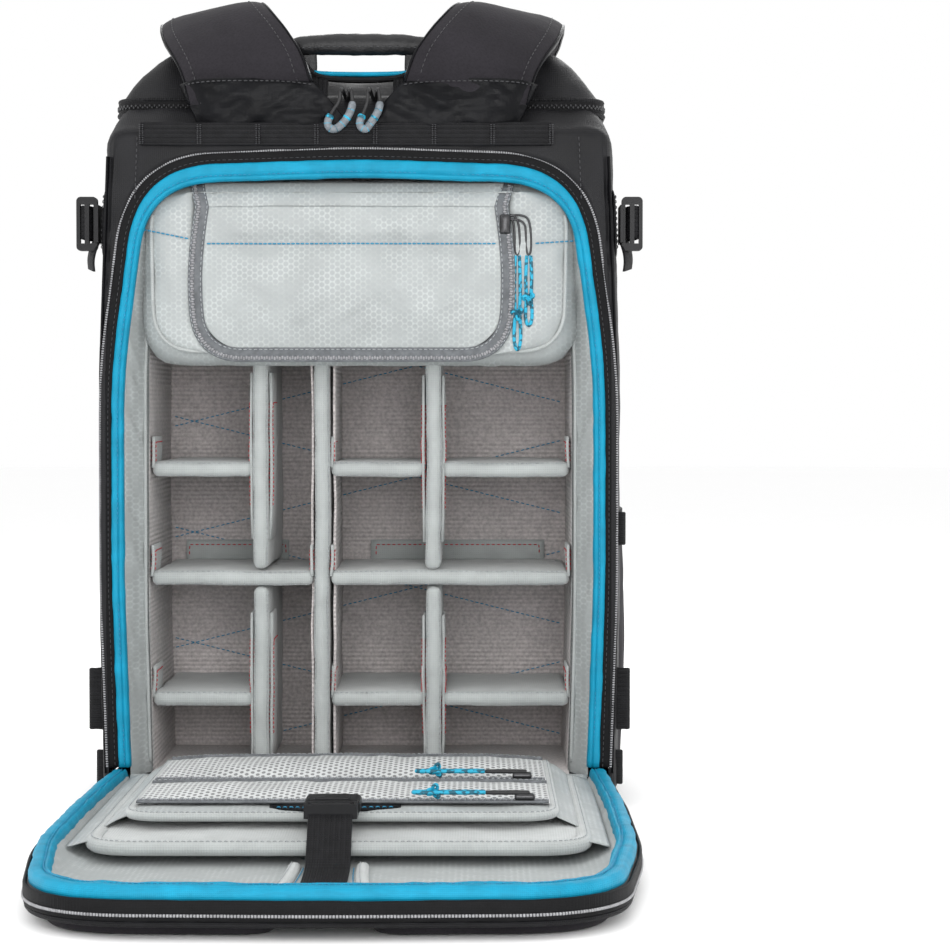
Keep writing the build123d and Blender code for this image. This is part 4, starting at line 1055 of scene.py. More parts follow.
# slider of the pouch with two bent wire pulls
slide_x, slide_z = zip_high.x - 3, flap_high.z - 12
face = POUCH_FACE - bulge(slide_x, slide_z)
padded_box("pouch_slider_body", (slide_x - 3.6, face - 4.2, slide_z - 6.5), (slide_x + 3.6, face - 0.8, slide_z + 6.5),
           1.4, METAL, "pouch_pull", "slider_metal", (0, 0.8, 0), replaces="pouch_slider")
for label, x, _, _ in WIRE_PLACES:
    wire = [(at, POUCH_FACE - out, z) for at, out, z in (
        (slide_x, 5.6, slide_z + 2), (slide_x + 3, 5.6, slide_z + 4), (x - 2.4, 5.2, slide_z + 2),
        (x - 1.8, 4.8, slide_z - 8), (x - 1.6, 4.6, SLIDER_FOOT + 2), (x, 4.6, SLIDER_FOOT - 1.5),
        (x + 1.6, 4.6, SLIDER_FOOT + 2), (x + 1.6, 4.8, slide_z - 8), (x + 0.8, 5.2, slide_z + 1),
        (x - 2.0, 5.4, slide_z + 6), (slide_x + 2, 5.6, slide_z + 6), (slide_x, 5.6, slide_z + 4))]
    tube(f"pouch_pull_{label}", centreline(wire), 0.75, METAL, "pouch_pull", "slider_metal")


# ---- lid ------------------------------------------------------------------------------------------
LID_TOP = cad("lid_shell")[1].z
RIM_TOP = cad("lid_trim")[1].z
LID_FLOOR = 11.0


def lid_ring(grow, z, start=1.5):
    return points_of(lid_arch(grow, z, start))


def lid_wall(grow, z, start):
    """Path round the outside of the lid's edge that faces outward."""
    return [(p, UP, Vector((n.x, n.y, 0))) for p, n, _ in lid_arch(grow, z, start)]


skin = loft("lid_skin", [lid_ring(*ring) for ring in (
    (-30, 7.0, 14), (-2, 6.8, 3), (2.5, 7.4), (4.8, 9.4), (5.6, 13), (5.6, 18), (4.6, 20.5), (0, 21), (-5.5, 20.6),
    (-7, 18), (-9, 12), (-30, 10.4, 10))], SHELL_MAT, "lid", "shell_fabric", replaces="lid_shell")
crumple(skin, 0.5, 24, 70, lambda p: 1 if p.z > 7.2 else 0)
lid_binding = sweep("lid_binding", lid_arch(-1.5, LID_TOP - 0.6), trim_section(11.6, RIM_TOP - LID_TOP + 0.8), BINDING,
                    "lid", "binding", replaces="lid_trim")
crumple(lid_binding, 0.8, 15, 71, lambda p: 1 if p.z > LID_TOP + 1 else 0)
stitches("lid_binding_seam", lid_ring(-3.6, RIM_TOP - 0.3), UP, BLUE_THREAD, "lid", "binding", 2.2, 1.0, 0.28)
sweep("lid_zipper_tape", lid_wall(6.3, 15.4, 8), rounded_section(10.6, 2.0, 0.9), BLACK_TAPE, "lid", "coil_zipper",
      replaces="lid_zipper")
coil("lid_zipper_coil", lid_wall(7.2, 13.2, 8), TEETH, "lid", "coil_zipper", 1.7, 1.6, 0.9, 0)
sweep("lid_edge_piping", lid_wall(4.6, 8.8, 6), circle(2.1, 10), WEB_Z, "lid", "shell_fabric")

# back pads on the outside of the lid: x, and distance in front of the fold line
for side, label in SIDES:
    for row, (near, far, outer, trim, corner) in enumerate(((22.0, 204.0, 156.0, 0, 14), (224.0, 398.0, 152.0, 4, 54))):
        corners = [(24.0, near), (outer, near), (outer - trim, far - trim), (24.0, far), (24.0, near)]
        line = rounded_path([(side * x, y) for x, y in corners], [16, corner, 16], 5.0)
        centre = sum(line, Vector((0, 0))) / len(line)
        rings = []
        for shrink, z in ((0.0, 7.6), (0.0, 5.0), (0.010, 2.6), (0.03, 1.0), (0.07, 0.35), (0.14, 0.9), (0.18, 1.6),
                          (0.22, 0.6), (0.30, 0.1), (0.6, 0.05), (0.95, 0.05)):
            rings.append([Vector((p.x, RIM_Y - p.y, z)) for p in shrunk(line, centre, shrink)])
        loft(f"back_pad_{label}_{row}", rings, FOAM, "lid", "strap_foam", fill=0.8,
             replaces="lid_pads" if side < 0 and row == 0 else ())

# inside of the lid: grey border that slopes down to a honeycomb floor
rings = [lid_ring(*ring) for ring in (
    (-5.0, LID_TOP + 4.2, 3), (-7.6, LID_TOP + 2.6, 3), (-11, LID_TOP - 2.5, 4), (-17, LID_FLOOR + 3.6, 6),
    (-25, LID_FLOOR + 1.2, 10))]
foot, centre = rings[4], Vector((0, RIM_Y - 200, LID_FLOOR + 0.6))
for share in (0.06, 0.14, 0.24, 0.36, 0.5, 0.65, 0.8, 0.92, 1.0):
    rings.append([Vector((q.x, q.y, LID_FLOOR + 0.6 + 0.5 * wobble((q.x, q.y, 0), 34, 73)))
                  for q in shrunk(foot, centre, share)])
border = loft("lid_border", rings, *LID_CLOTH, False, (False, False))
crumple(border, 1.0, 20, 72, lambda p: 1 if LID_FLOOR + 1.6 < p.z < LID_TOP + 2 else 0.1)

# padded sleeve panels with rounded far corners and a bound far edge
for name, node, cloth, tall, thick_up, corner, seed in (
    ("sleeve_lower_pad", "sleeve_panel_lower", LID_PADDED, 8.0, 3.0, 26, 80),
    ("sleeve_upper_pad", "sleeve_panel_upper", LID_CLOTH, 5.2, 1.0, 20, 84),
):
    low, high = cad(node)
    line = rounded_path([(low.x, high.y), (low.x, low.y), (high.x, low.y), (high.x, high.y)], [corner] * 2, 5.0)
    centre, middle, rings = Vector((0, (low.y + high.y) / 2)), high.z - tall / 2, []
    for shrink, rise in ((0.2, -0.9), (0.05, -0.95), (0.02, -0.8), (0.004, -0.4), (0.0, 0.0), (0.004, 0.4),
                         (0.02, 0.8), (0.05, 1.0), (0.12, 1.15), (0.25, 1.3), (0.5, 1.4), (0.8, 1.45)):
        ring = []
        for q in shrunk(line, centre, shrink):
            lift = max(0.0, rise - 1.0) * thick_up + 0.9 * wobble((q.x, q.y, 0), 48, seed) * min(1.0, shrink * 6)
            ring.append(Vector((q.x, q.y, middle + min(rise, 1.0) * tall / 2 + (lift if rise > 0 else 0))))
        rings.append(ring)
    panel = loft(name, rings, *cloth, replaces=node, fill=0.6)
    crumple(panel, 0.8, 26, seed + 1, lambda p: 1 if p.z > middle else 0)
    edge = [Vector((p.x * 1.004, p.y - 0.6 if p.y < low.y + 30 else p.y, middle + 0.4)) for p in line]
    bound_edge(f"{name}_edge", edge, tall * 0.54, *LID_PADDED)

# gussets of light cloth between the sleeves and the border, left and right
for side, label in SIDES:
    for tier, (x_in, z_in, x_out, z_out, length) in enumerate((
        (134, 24.0, 153, 20.5, 250), (119, 33.5, 137, 25.5, 214),
    )):
        def gusset(u, v):
            x, y = side * (x_in + (x_out - x_in) * v), RIM_Y - 10 - (length - 10) * u
            fold = 2.6 * (1 - 0.6 * u) * (1 - 0.5 * u) + 1.3 * wobble((x, y, 0), 18, 88 + tier)
            return x, y, z_in + (z_out - z_in) * v + fold * math.sin(math.pi * v)
        sheet_grid(f"gusset_{label}_{tier}", gusset, 46, 12, *LID_CLOTH, 0.8)

# mesh pockets: gathered mesh stretched over what would fill them, each with its zipper, slider and pull
for label, seed in (("near", 90), ("far", 93)):
    low, high = cad(f"mesh_pocket_{label}")

    def mesh(u, v):
        x, y = low.x - 3 + (high.x - low.x + 6) * u, high.y + 1 + (low.y - high.y - 1) * v
        rise = math.sin(math.pi * min(1.0, v * 0.86 + 0.08)) ** 0.7 * (1 - abs(2 * u - 1) ** 5)
        gather = 1.1 * wobble((x, y * 0.3, 0), 13, seed) + 0.8 * wobble((x, y, 0), 30, seed + 1)
        return x, y, low.z + 0.8 + (high.z - low.z - 2.2) * rise + gather * min(1.0, rise * 1.4)
    sheet_grid(f"mesh_pocket_{label}_cloth", mesh, 110, 40, MESH, "lid", "mesh_fabric", 0.8,
               replaces=f"mesh_pocket_{label}")
    bound_edge(f"mesh_pocket_{label}_edge", [Vector(mesh(u / 40, 0)) + Vector((0, 0.5, 0.3)) for u in range(41)], 1.5,
               GREY_TAPE, "lid", "mesh_fabric")
zip_start, zip_end = (corner.x for corner in cad("mesh_zippers"))
for label, place in MESH_PLACES.items():
    middle, x, top, body = RIM_Y - place - 3.3, 106.0, MESH_BASE + 3.2, f"mesh_pull_{label}"
    line = [zip_start - 2 + (zip_end - zip_start + 4) * k / 59 for k in range(60)]
    path = [(Vector((at, middle + 0.8 * wobble((at, 0, 0), 40, 95), MESH_BASE + 2.4)), BEHIND, UP) for at in line]
    sweep(f"mesh_zipper_tape_{label}", path, rounded_section(9.6, 1.4, 0.6), GREY_TAPE, "lid", "grey_zipper",
          replaces="mesh_zippers" if label == "near" else ())
    coil(f"mesh_zipper_coil_{label}", [(p + UP * 0.7, a, o) for p, a, o in path], GREY_COIL, "lid", "grey_zipper", 1.7,
         2.2, 1.0)
    padded_box(f"mesh_slider_{label}_body", (x - 6, middle - 3.6, top), (x + 6, middle + 3.6, top + 3.4), 1.4, METAL,
               body, "slider_metal", (0, 0, 0.6), replaces=f"mesh_slider_{label}")
    padded_box(f"mesh_pull_tab_{label}", (x - 23, middle - 2.4, top + 3.2), (x + 3, middle + 2.4, top + 5.2), 0.9,
               BLACK_CORD, body, "slider_metal", (0, 0, 0.3), 2.2)


# ---- strap, wing and buckle that close the sleeves -------------------------------------------------
def dress(node, bevel):
    """Keep a moulded CAD part, with rounded edges and a better material."""
    part = frame["nodes"][node]
    part.data.materials.clear()
    part.data.materials.append(PLASTIC)
    edge = part.modifiers.new("edge", "BEVEL")
    edge.width = bevel * MM
    edge.segments = 3
    edge.limit_method = "ANGLE"
    edge.angle_limit = math.radians(40)


female_low, female_high = cad("buckle_female")
male_low, male_high = cad("buckle_male")
LOCK_X, LOCK_Z = (female_low.x + female_high.x) / 2, male_low.z - 0.4
dress("buckle_female", 0.9)
dress("buckle_male", 0.7)
padded_box("buckle_female_crest", (LOCK_X - 10, female_low.y + 2, female_high.z - 0.5),
           (LOCK_X + 10, female_high.y - 4, female_high.z + 0.9), 1.2, PLASTIC, "lid", "buckle_plastic", (0, 0, 0.5))
for k in range(3):
    y = male_low.y + 1.6 + 1.2 * k
    padded_box(f"buckle_male_rib_{k}", (LOCK_X - 11, y, male_high.z - 0.4), (LOCK_X + 11, y + 0.8, male_high.z + 0.5), 0.4,
               PLASTIC, "lid_buckle", "buckle_plastic")
for name, route, wide, thick, replaced in (
    ("lid_webbing_tape", ((-357, LOCK_Z + 3.6), (-364, LOCK_Z + 2), (-372, LOCK_Z - 6), (-386, LID_FLOOR + 3),
                          (-410, LID_FLOOR + 2), (-446, LID_FLOOR + 1.6), (-492, LID_FLOOR + 1.6)), 25, 1.7,
     "lid_webbing"),
    ("lid_webbing_root", ((-346, LOCK_Z + 4), (-342, LOCK_Z + 0.4), (-332, LOCK_Z - 0.2), (-300, LOCK_Z - 0.4)), 24, 1.5,
     ()),
):
    ribbon(name, smooth_line([(LOCK_X, y, z) for y, z in route]), ACROSS, wide, thick, *LID_WEB, replaces=replaced)


def wing(u, v):
    x, far = LOCK_X + 38 * (2 * u - 1), 1 - abs(2 * u - 1) ** 1.5
    y = -309 - 7 * v - 15 * far * v
    return x, y, LOCK_Z + 0.5 - 2.2 * v * v * (1 - far) + 0.5 * wobble((x, y, 0), 15, 97)


sheet_grid("lid_wing", wing, 40, 10, SATIN, "lid", "webbing", 1.0)
for side, label in SIDES:
    seam = [Vector(wing(0.5 + side * (0.16 + 0.30 * k / 8), 0.8)) + UP * 0.3 for k in range(9)]
    stitches(f"lid_wing_stitches_{label}", seam, UP, BLUE_THREAD, "lid", "webbing", 2.6, 1.3, 0.45)
for side, label in SIDES:
    arc = [Vector((LOCK_X + side * (19 + 8 * (k / 24) ** 1.6), -378 - 117 * k / 24, LID_FLOOR + 1.6)) for k in range(25)]
    bound_edge(f"lid_floor_arc_{label}", arc, 2.9, *LID_PADDED)
    stitches(f"lid_floor_arc_thread_{label}", [p + Vector((side * -5.0, 0, -0.7)) for p in arc], UP, BLUE_THREAD, "lid",
             "grey_ripstop", 2.4, 1.0, 0.35)


# ---- cloth that crosses the fold of the lid ----------------------------------------------------------
def fold_strip(name, profile, half, material, slot, thick, seed):
    """Strip across the fold line, through (y, z) points; y is counted from the rim plane, backward."""
    line = even([(RIM_Y + y, z) for y, z in profile], 0.8)

    def surface(u, v):
        p, x = line[round(v * (len(line) - 1))], half * (2 * u - 1)
        return x, p.x, p.y + 0.35 * wobble((x, 0, 0), 16, seed)
    strip = sheet_grid(name, surface, 90, len(line) - 1, material, None, slot, thick)
    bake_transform(strip)


fold_strip("fold_cloth_inside", [(12, 22.2), (4, 23.4), (0, 24.0), (-4, 23.4), (-13, 19.0), (-19, 15.0)], 151,
           RIPSTOP_LEVEL, "grey_ripstop", 0.8, 101)
fold_strip("fold_cloth_outside", [(4, 7.0), (0.5, 7.4), (-3.0, 8.4), (-7, 9.4)], 163, SHELL_MAT, "shell_fabric",
           1.0, 102)


# ---- outer shell ------------------------------------------------------------------------------------
BODY_FRONT = cad("front_wall")[1].y
BODY_TOP = cad("back_surround")[1].z
SHELL_LINE = rounded_path(
    [(169.5, 14), (171, 120), (171, 290), (165, BODY_TOP), (-165, BODY_TOP), (-171, 290), (-171, 120), (-169.5, 14)],
    [400, 500, 16, 16, 500, 400], 4.0)
top_low, top_high = cad("top_wall")


def side_swell(s):
    """Bulge of the bag's sides at a distance behind the rim."""
    return 4.0 * math.sin(math.pi * min(1.0, s / 165)) + 1.2 * math.sin(math.pi * min(1.0, s / 60))


def side_x(z, s):
    """Distance of the shell's side from the middle plane, at a height and a distance behind the rim."""
    return half_width(z) + side_swell(s)


BACK_STEPS = 7
SIDE_STEPS = [0.0, 0.6, 2.0, 4.0, 7.0, 12.0, 18.0, 25.0, 31.0, 40.0, 52.0, 66.0, 80.0, 96.0, 112.0, 128.0, 144.0,
              156.0, 162.0, 165.0, 166.5]
rings = []
for i, (far, n) in enumerate(zip(SHELL_LINE, outward(SHELL_LINE))):
    place = i / (len(SHELL_LINE) - 1) * LAST          # point of the arch that faces this one
    low = min(LAST - 1, int(place))
    q = ARCH_LINE[low].lerp(ARCH_LINE[low + 1], place - low)
    m = ARCH_OUT[low].lerp(ARCH_OUT[low + 1], place - low).normalized()
    near = Vector((q.x + m.x * 7.2, HINGE_Z + q.y + m.y * 7.2))      # outside the arch's zipper tape
    top, edge = max(0.0, n.y), far - n * 4.0
    column = [Vector((near.x, RIM_Y + 2.6, near.y))]
    for k in range(BACK_STEPS + 1):
        flat = near.lerp(edge, k / BACK_STEPS)
        column.append(Vector((flat.x, RIM_Y + 0.8 + 0.5 * k / BACK_STEPS, flat.y)))
    for s in SIDE_STEPS:
        side, t = side_swell(s), min(1.0, s / 31)
        corner = 4.0 * (1 - math.sqrt(max(0.0, 1 - (1 - min(1.0, s / 6.0)) ** 2)))
        reach = min(s, 31.0) * top + s * (1 - top) if top > 0.3 else s
        z = far.y + n.y * (15.0 * t * t * (3 - 2 * t) * top - corner)
        z += 1.6 * side if abs(n.x) < 0.3 and top < 0.3 else 0
        column.append(Vector((far.x + n.x * (side - corner), RIM_Y + 1.4 + reach, z)))
    rings.append(column)
shell_skin = loft("shell_skin", rings, *BAG_SHELL, False, (False, False), fill=0.6,
                  replaces=("back_surround", "side_wall_left", "side_wall_right"))
crumple(shell_skin, 1.1, 42, 110, lambda p: (1.0 if p.y > RIM_Y + 4 or p.z > 330 else 0.25)
        * (1 if abs(p.x) < 166 or p.y > RIM_Y + 3 else 0.4))
crumple(shell_skin, 0.7, 15, 111, lambda p: 1.0 if p.z > 360 and p.y > RIM_Y + 1 else 0.3)
PANEL_TOP = cad("top_deck")[1].z - 3.5


def front_panel(u, v):
    z = 6 + (PANEL_TOP - 6) * v
    half = half_width(z) - 18.5 + math.sqrt(max(0.0, 18 ** 2 - max(0.0, z - (PANEL_TOP - 18)) ** 2))
    return half * (2 * u - 1), BODY_FRONT + 0.8, z


sheet_grid("front_panel", front_panel, 40, 50, *BAG_SHELL, 1.0, replaces="front_wall")
base = padded_box("base_skin", (-169.5, RIM_Y + 1, 0.4), (169.5, BODY_FRONT, 21), 6.0, *BAG_SHELL, (0.5, 0.5, 0.0), 9.0,
                  replaces="base_wall")
crumple(base, 0.35, 30, 112)

# raised seams that run up the shoulders and along the sides
for side, label in SIDES:
    corner = [Vector((side * (half_width(z) - 0.6), RIM_Y + 2.6, z)) for z in range(24, 436, 6)]
    out = Vector((side, -0.6, 0)).normalized()
    sweep(f"shell_corner_seam_{label}", [(p, BEHIND, out) for p in corner], circle(1.17), *BAG_SATIN)
    shoulder = [Vector((side * (147 - 1.5 * k / 6), RIM_Y + 0.3, z)) for k, z in enumerate(range(404, 452, 6))]
    stitches(f"shoulder_seam_{label}", shoulder, BACK, *BAG_THREAD, 2.6, 1.4, 0.4)
    for k, s in enumerate((74.0, 152.0)):
        line = [Vector((side * (side_x(z, s) + 0.4), RIM_Y + 1.4 + s, z)) for z in range(24, 438, 8)]
        sweep(f"side_seam_{label}_{k}", [(p, BEHIND, ACROSS * side) for p in line], circle(1.3), *BAG_SATIN)
        stitches(f"side_seam_thread_{label}_{k}", [p + Vector((side * 0.3, 5, 0)) for p in line], ACROSS * side,
                 *BAG_THREAD, 2.6, 1.4, 0.35)


# ---- top compartment ------------------------------------------------------------------------------
FLAP_BASE, FLAP_RISE, TOP_MIDDLE = 471, 40.0, 16


def plan_ring(grow, z, seed=0.0, depth=0.0):
    """Rounded plan outline of the top compartment at a height."""
    half, back, front = 162.0 + grow, top_low.y - grow, top_high.y + grow
    ring = []
    for p in loop_points([(half, front), (half, back), (-half, back), (-half, front)], [max(4, 22 + grow)] * 4, 180):
        fold = depth * wobble((p.x, p.y, z), 22, seed)
        ring.append(Vector((p.x + (fold if abs(p.x) > 120 else 0), p.y + (fold if abs(p.x) <= 120 else 0), z)))
    return ring


loft("top_wall_skin", [plan_ring(*ring) for ring in (
    (-5.0, 438.5), (-1.6, 439.0), (0.6, 446.8, 120, 0.6), (2.2, 452, 121, 1.0), (2.0, 458, 122, 1.0),
    (0.8, 463, 123, 0.5), (-0.6, 465.4), (-3.6, 465.6), (-4.2, 456), (-4.4, 448.4))], *BAG_SHELL, True, (False, False),
     replaces="top_wall")


def deck(u, v):
    x, y = 160 * (2 * u - 1), -71 + 174 * v
    return x, y, 448.6 + 0.5 * wobble((x, y, 0), 30, 124)


sheet_grid("top_deck_lining", deck, 40, 24, RIPSTOP_LEVEL, "bag", "grey_ripstop", replaces="top_deck")


def zip_line(grow, z):
    """Path of the top zipper: from the hinge side round the back and to the hinge side again."""
    line = plan_ring(grow, z)
    start = max(range(len(line)), key=lambda k: line[k].y * 10 + abs(line[k].x) * 0.01 if line[k].x > 100 else -1e9)
    line = line[start:] + line[:start]
    path = []
    for i, p in enumerate(line):
        if p.y <= top_high.y - 2.5:
            out = UP.cross((line[(i + 1) % len(line)] - line[i - 1]).normalized()).normalized()
            path.append((p, UP, out if out.dot(p - Vector((0, TOP_MIDDLE, z))) > 0 else -out))
    return path


sweep("top_zipper_tape", zip_line(1.4, 467.6), rounded_section(8.6, 2.2, 0.9), *BAG_TAPE, replaces="top_zipper")
coil("top_zipper_coil", zip_line(2.4, 467.8), *BAG_COIL, 1.6, 1.8, 0.9)
for k, (grow, z, body) in enumerate(((1.8, 463.2, "bag"), (1.2, 472.4, "top_flap"))):
    sweep(f"top_zipper_piping_{k}", zip_line(grow, z), circle(1.625), WEB_X, body, "webbing")


def flap_top(x):
    """Height of the soft flap, which sags in the middle, above its base."""
    return FLAP_RISE * (1 - 0.52 * math.exp(-(x / 62) ** 2))


rings = [plan_ring(-4, 471.0), plan_ring(0.2, 470.8), plan_ring(0.8, 472.0)]
for k in range(1, 13):
    turn = k / 12 * math.pi / 2
    inset = 37 * (0.3 * (1 - math.cos(turn)) + 0.7 * k / 12)
    rise, ring = 0.45 * math.sin(turn) + 0.55 * k / 12, []
    for p in plan_ring(0, 0):
        x, y = p.x * (1 - inset / 162), TOP_MIDDLE + (p.y - TOP_MIDDLE) * (1 - inset / 92)
        q = Vector((x, y, FLAP_BASE + flap_top(x) * rise))
        fold = 1.5 * wobble(q, 26, 126) + 0.9 * wobble(q, 11, 127)
        ring.append(q + Vector((q.x / 162, (q.y - TOP_MIDDLE) / 90, 0.6)).normalized() * fold)
    rings.append(ring)
edge = rings[-1]
for share in (0.1, 0.22, 0.35, 0.48, 0.6, 0.7, 0.79, 0.87, 0.93, 0.97, 1.0):
    places = [(p.x * (1 - share), 20 + (p.y - 20) * (1 - share)) for p in edge]
    rings.append([Vector((x, y, FLAP_BASE + flap_top(x) + 1.6 * wobble((x, y, 0), 28, 128))) for x, y in places])
dome = loft("top_flap_skin", rings, SHELL_MAT, "top_flap", "shell_fabric", True, (False, False), replaces="top_flap",
            fill=0.5)
loft("top_flap_lining", [shrunk(ring, Vector((0, TOP_MIDDLE, 440)), 0.022) for ring in rings], RIPSTOP_LEVEL,
     "top_flap", "grey_ripstop", True, (False, False))
bpy.context.view_layer.update()
for side, label in SIDES:
    path = []
    for k in range(30):
        above = Vector((side * 112, -56 + 138 * k / 29, 600)) * MM
        path.append((dome.ray_cast(above, -UP)[1] / MM + UP * 0.3, ACROSS, UP))
    sweep(f"top_flap_seam_{label}", path, circle(1.3), SATIN, "top_flap", "shell_fabric")

# cloth that joins the flap to the compartment along its hinge
hinge_strip = sheet_grid(
    "top_flap_fold", lambda u, v: (150 * (2 * u - 1), 108.4 + 0.8 * math.sin(math.pi * v), 463 + 12 * v), 60, 10,
    SHELL_MAT, None, "shell_fabric", 0.9)
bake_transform(hinge_strip)


# ---- front pocket -----------------------------------------------------------------------------------
pocket_low, pocket_high = cad("front_pocket")
POCKET_TOP = 446.0


def pocket_ring(inset, stand):
    half, low, high = pocket_high.x - inset, pocket_low.z + inset, POCKET_TOP - inset * 0.9
    y, ring = BODY_FRONT + stand, []
    for p in loop_points([(half, high), (half, low), (-half, low), (-half, high)], [34, 26, 26, 34], 200):
        fold = 0.9 * wobble((p.x, y, p.y), 32, 130) + 0.5 * wobble((p.x, y, p.y), 13, 131)
        ring.append(Vector((p.x, y + fold * (1 if inset > 1 else 0.2), p.y)))
    return ring


def crown(x, z):
    """Height of the front pocket's face above its edge."""
    u, v = x / 150, (z - 200) / 205
    return 5.5 * max(0.0, 1 - abs(u) ** 2.6) * max(0.0, 1 - abs(v) ** 2.6)


def pocket_face(x, z, lift):
    """Point above the front pocket's face."""
    return Vector((x, BODY_FRONT + lift + crown(x, z) + 0.9 * wobble((x, 109, z), 32, 130), z))


rings = [pocket_ring(*ring) for ring in ((0, 0.5), (0.6, 12), (2.6, 26), (5.5, 36), (9.5, 43), (15, 47))]
for inset in (22, 34, 50, 70, 92, 116, 140):
    rings.append([p + BEHIND * crown(p.x, p.z) for p in pocket_ring(inset, 47.5)])
loft("front_pocket_skin", rings, *BAG_SHELL, replaces="front_pocket", fill=0.6)


def pocket_path(inset, lift):
    """Arch on the pocket's face, up one side, over the top and down the other."""
    half, high, foot = pocket_high.x - inset, pocket_high.z - inset, 96.0
    line = rounded_path([(half, foot), (half, high), (-half, high), (-half, foot)], [46, 46], 4.0)
    return [(pocket_face(p.x, p.y, 47.4 + lift), Vector((along.y, 0, -along.x)), BEHIND)
            for p, along in zip(line, headings(line))]


sweep("front_zipper_tape", pocket_path(27, 0.3), rounded_section(12, 2.0, 0.9), *BAG_TAPE)
coil("front_zipper_coil", pocket_path(27, 1.2), *BAG_COIL, 1.7, 1.9, 1.0)
for k, inset in enumerate((19.5, 34.5)):
    sweep(f"front_zipper_edge_{k}", pocket_path(inset, 0.7), circle(1.43), *BAG_SATIN)
for k, z in enumerate((92.0, 250.0)):
    line = [pocket_face(x, z, 48.0) for x in range(-136, 140, 6)]
    sweep(f"front_pocket_seam_{k}", [(p, UP, BEHIND) for p in line], circle(1.43), *BAG_SATIN)
    stitches(f"front_pocket_thread_{k}", [p + Vector((0, 0.4, -4)) for p in line], BEHIND, *BAG_THREAD, 2.6, 1.4, 0.35)
for k, x in enumerate((-139.0, 139.0)):
    y, z = BODY_FRONT + 52, 110.0
    padded_box(f"front_slider_{k}", (x - 4.5, y - 4, z), (x + 4.5, y, z + 13), 1.6, *BAG_METAL, (0, 0.8, 0), 2.2)
    ribbon(f"front_pull_{k}", smooth_line([(x, y, z + 4), (x, y + 0.8, z - 10), (x + 1.5, y - 0.5, z - 30)]), ACROSS, 7,
           1.6, *BAG_WEB)
for side, label in SIDES:
    for k, z in enumerate((128.0, 160.0, 192.0, 224.0)):
        x, y = side * 96, BODY_FRONT + 48.6 + crown(side * 96, z)
        loop = [(x, y + dy, z + dz) for dy, dz in ((-0.8, -8), (2.2, -5), (3.2, 0), (2.2, 5), (-0.8, 8))]
        ribbon(f"front_loop_{label}_{k}", smooth_line(loop), ACROSS, 26, 1.7, *BAG_WEB, 1.6)

# ---- side pockets -----------------------------------------------------------------------------------
side_low, side_high = cad("side_pockets")
for side, label in SIDES:
    def pocket_side(u, v):
        y, z = -38 + 97 * u, side_low.z + (side_high.z - side_low.z) * v
        rise = (1 - abs(2 * u - 1) ** 3) * (0.35 + 0.65 * math.sin(math.pi * min(1, 0.25 + 0.7 * v)))
        gather = 1.1 * wobble((0, y, z * 0.35), 9, 140 + side) * v
        return side * (side_x(z, y - RIM_Y) + 0.6 + 7.0 * rise + gather), y, z
    sheet_grid(f"side_pocket_{label}", pocket_side, 60, 70, FOAM, "bag", "shell_fabric", 1.4,
               replaces="side_pockets" if side < 0 else ())
    hem = [(Vector(pocket_side(k / 50, 1)), UP, ACROSS * side) for k in range(51)]
    sweep(f"side_pocket_hem_{label}", hem, rounded_section(14, 2.6, 1.2), *BAG_WEB_UP)

# ---- daisy chain, yokes and handle --------------------------------------------------------------------
daisy_low, daisy_high = cad("daisy_chain")
CHAIN_Z, CHAIN_PITCH = (daisy_low.z + daisy_high.z) / 2, 38.6
path = []
for k in range(180):
    x = daisy_low.x + (daisy_high.x - daisy_low.x) * k / 179
    lift = 0.9 * abs(math.sin(math.pi * (x - daisy_low.x) / CHAIN_PITCH)) ** 0.7
    path.append((Vector((x, daisy_high.y - 1.0 - lift, CHAIN_Z + 0.4 * wobble((x, 0, 0), 30, 150))), UP, BACK))
sweep("daisy_chain_tape", path, rounded_section(15.5, 1.7, 0.8), *BAG_WEB_UP, replaces="daisy_chain")
for k in range(8):
    x = daisy_low.x + CHAIN_PITCH * k + (0.6 if k == 0 else 0)
    for dx, mark in ((-0.9, "a"), (0.9, "b")) if x <= daisy_high.x + 1 else ():
        bar = [(x + dx, daisy_low.y - 0.2, CHAIN_Z - 6.6 + 13.2 * m / 24) for m in range(25)]
        stitches(f"daisy_tack_{k}_{mark}", bar, BACK, BLACK_THREAD, "bag", "webbing", 0.9, 0.25, 0.7)
_, PIVOT_Y, PIVOT_Z = JOINTS["strap_left_upper_fold"]

for side, label in SIDES:
    def yoke(u, v):
        inner, outer = 5.0 + 24 * v ** 1.3, 104.0 + 15 * v
        x = side * (inner + (outer - inner) * u)
        z = BODY_TOP - 3 + 34 * v - 3.0 * abs(2 * u - 1) ** 3 * v
        pillow = (1 - abs(2 * u - 1) ** 4) * math.sin(math.pi * (0.08 + 0.84 * v))
        fold = (1.5 * wobble(((0.55 * side * x + z) * 1.6, 0, x * 0.35), 13, 152 + side)
                + 1.3 * wobble((x, 0, z * 1.7), 20, 153) + 0.7 * wobble((x * 0.7, 0, z * 1.5), 7, 154))
        curl = (3.5 + 9 * v) * max(0.0, (u - 0.84) / 0.16) ** 2
        return x, RIM_Y + 0.6 - 3.4 * pillow - fold * min(1.0, 1.7 * pillow) - 1.6 * v + curl, z
    panel = sheet_grid(f"yoke_{label}", yoke, 96, 54, SATIN, None, "shell_fabric", 2.0,
                       replaces="yoke" if side < 0 else (), fill=0.5)
    seam = [Vector(yoke(k / 60, 0.94)) + BACK * 0.9 for k in range(2, 59)]
    thread = stitches(f"yoke_seam_{label}", seam, BACK, BLACK_THREAD, None, "shell_fabric", 2.4, 1.1, 0.4)
    for piece in (panel, thread):
        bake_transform(piece)
sheet_grid("yoke_backing", lambda u, v: ((102 - 16 * v) * (2 * u - 1), -95 + 18 * v * v, BODY_TOP - 1 + 24 * v), 50, 12,
           *BAG_SHELL, 1.2)

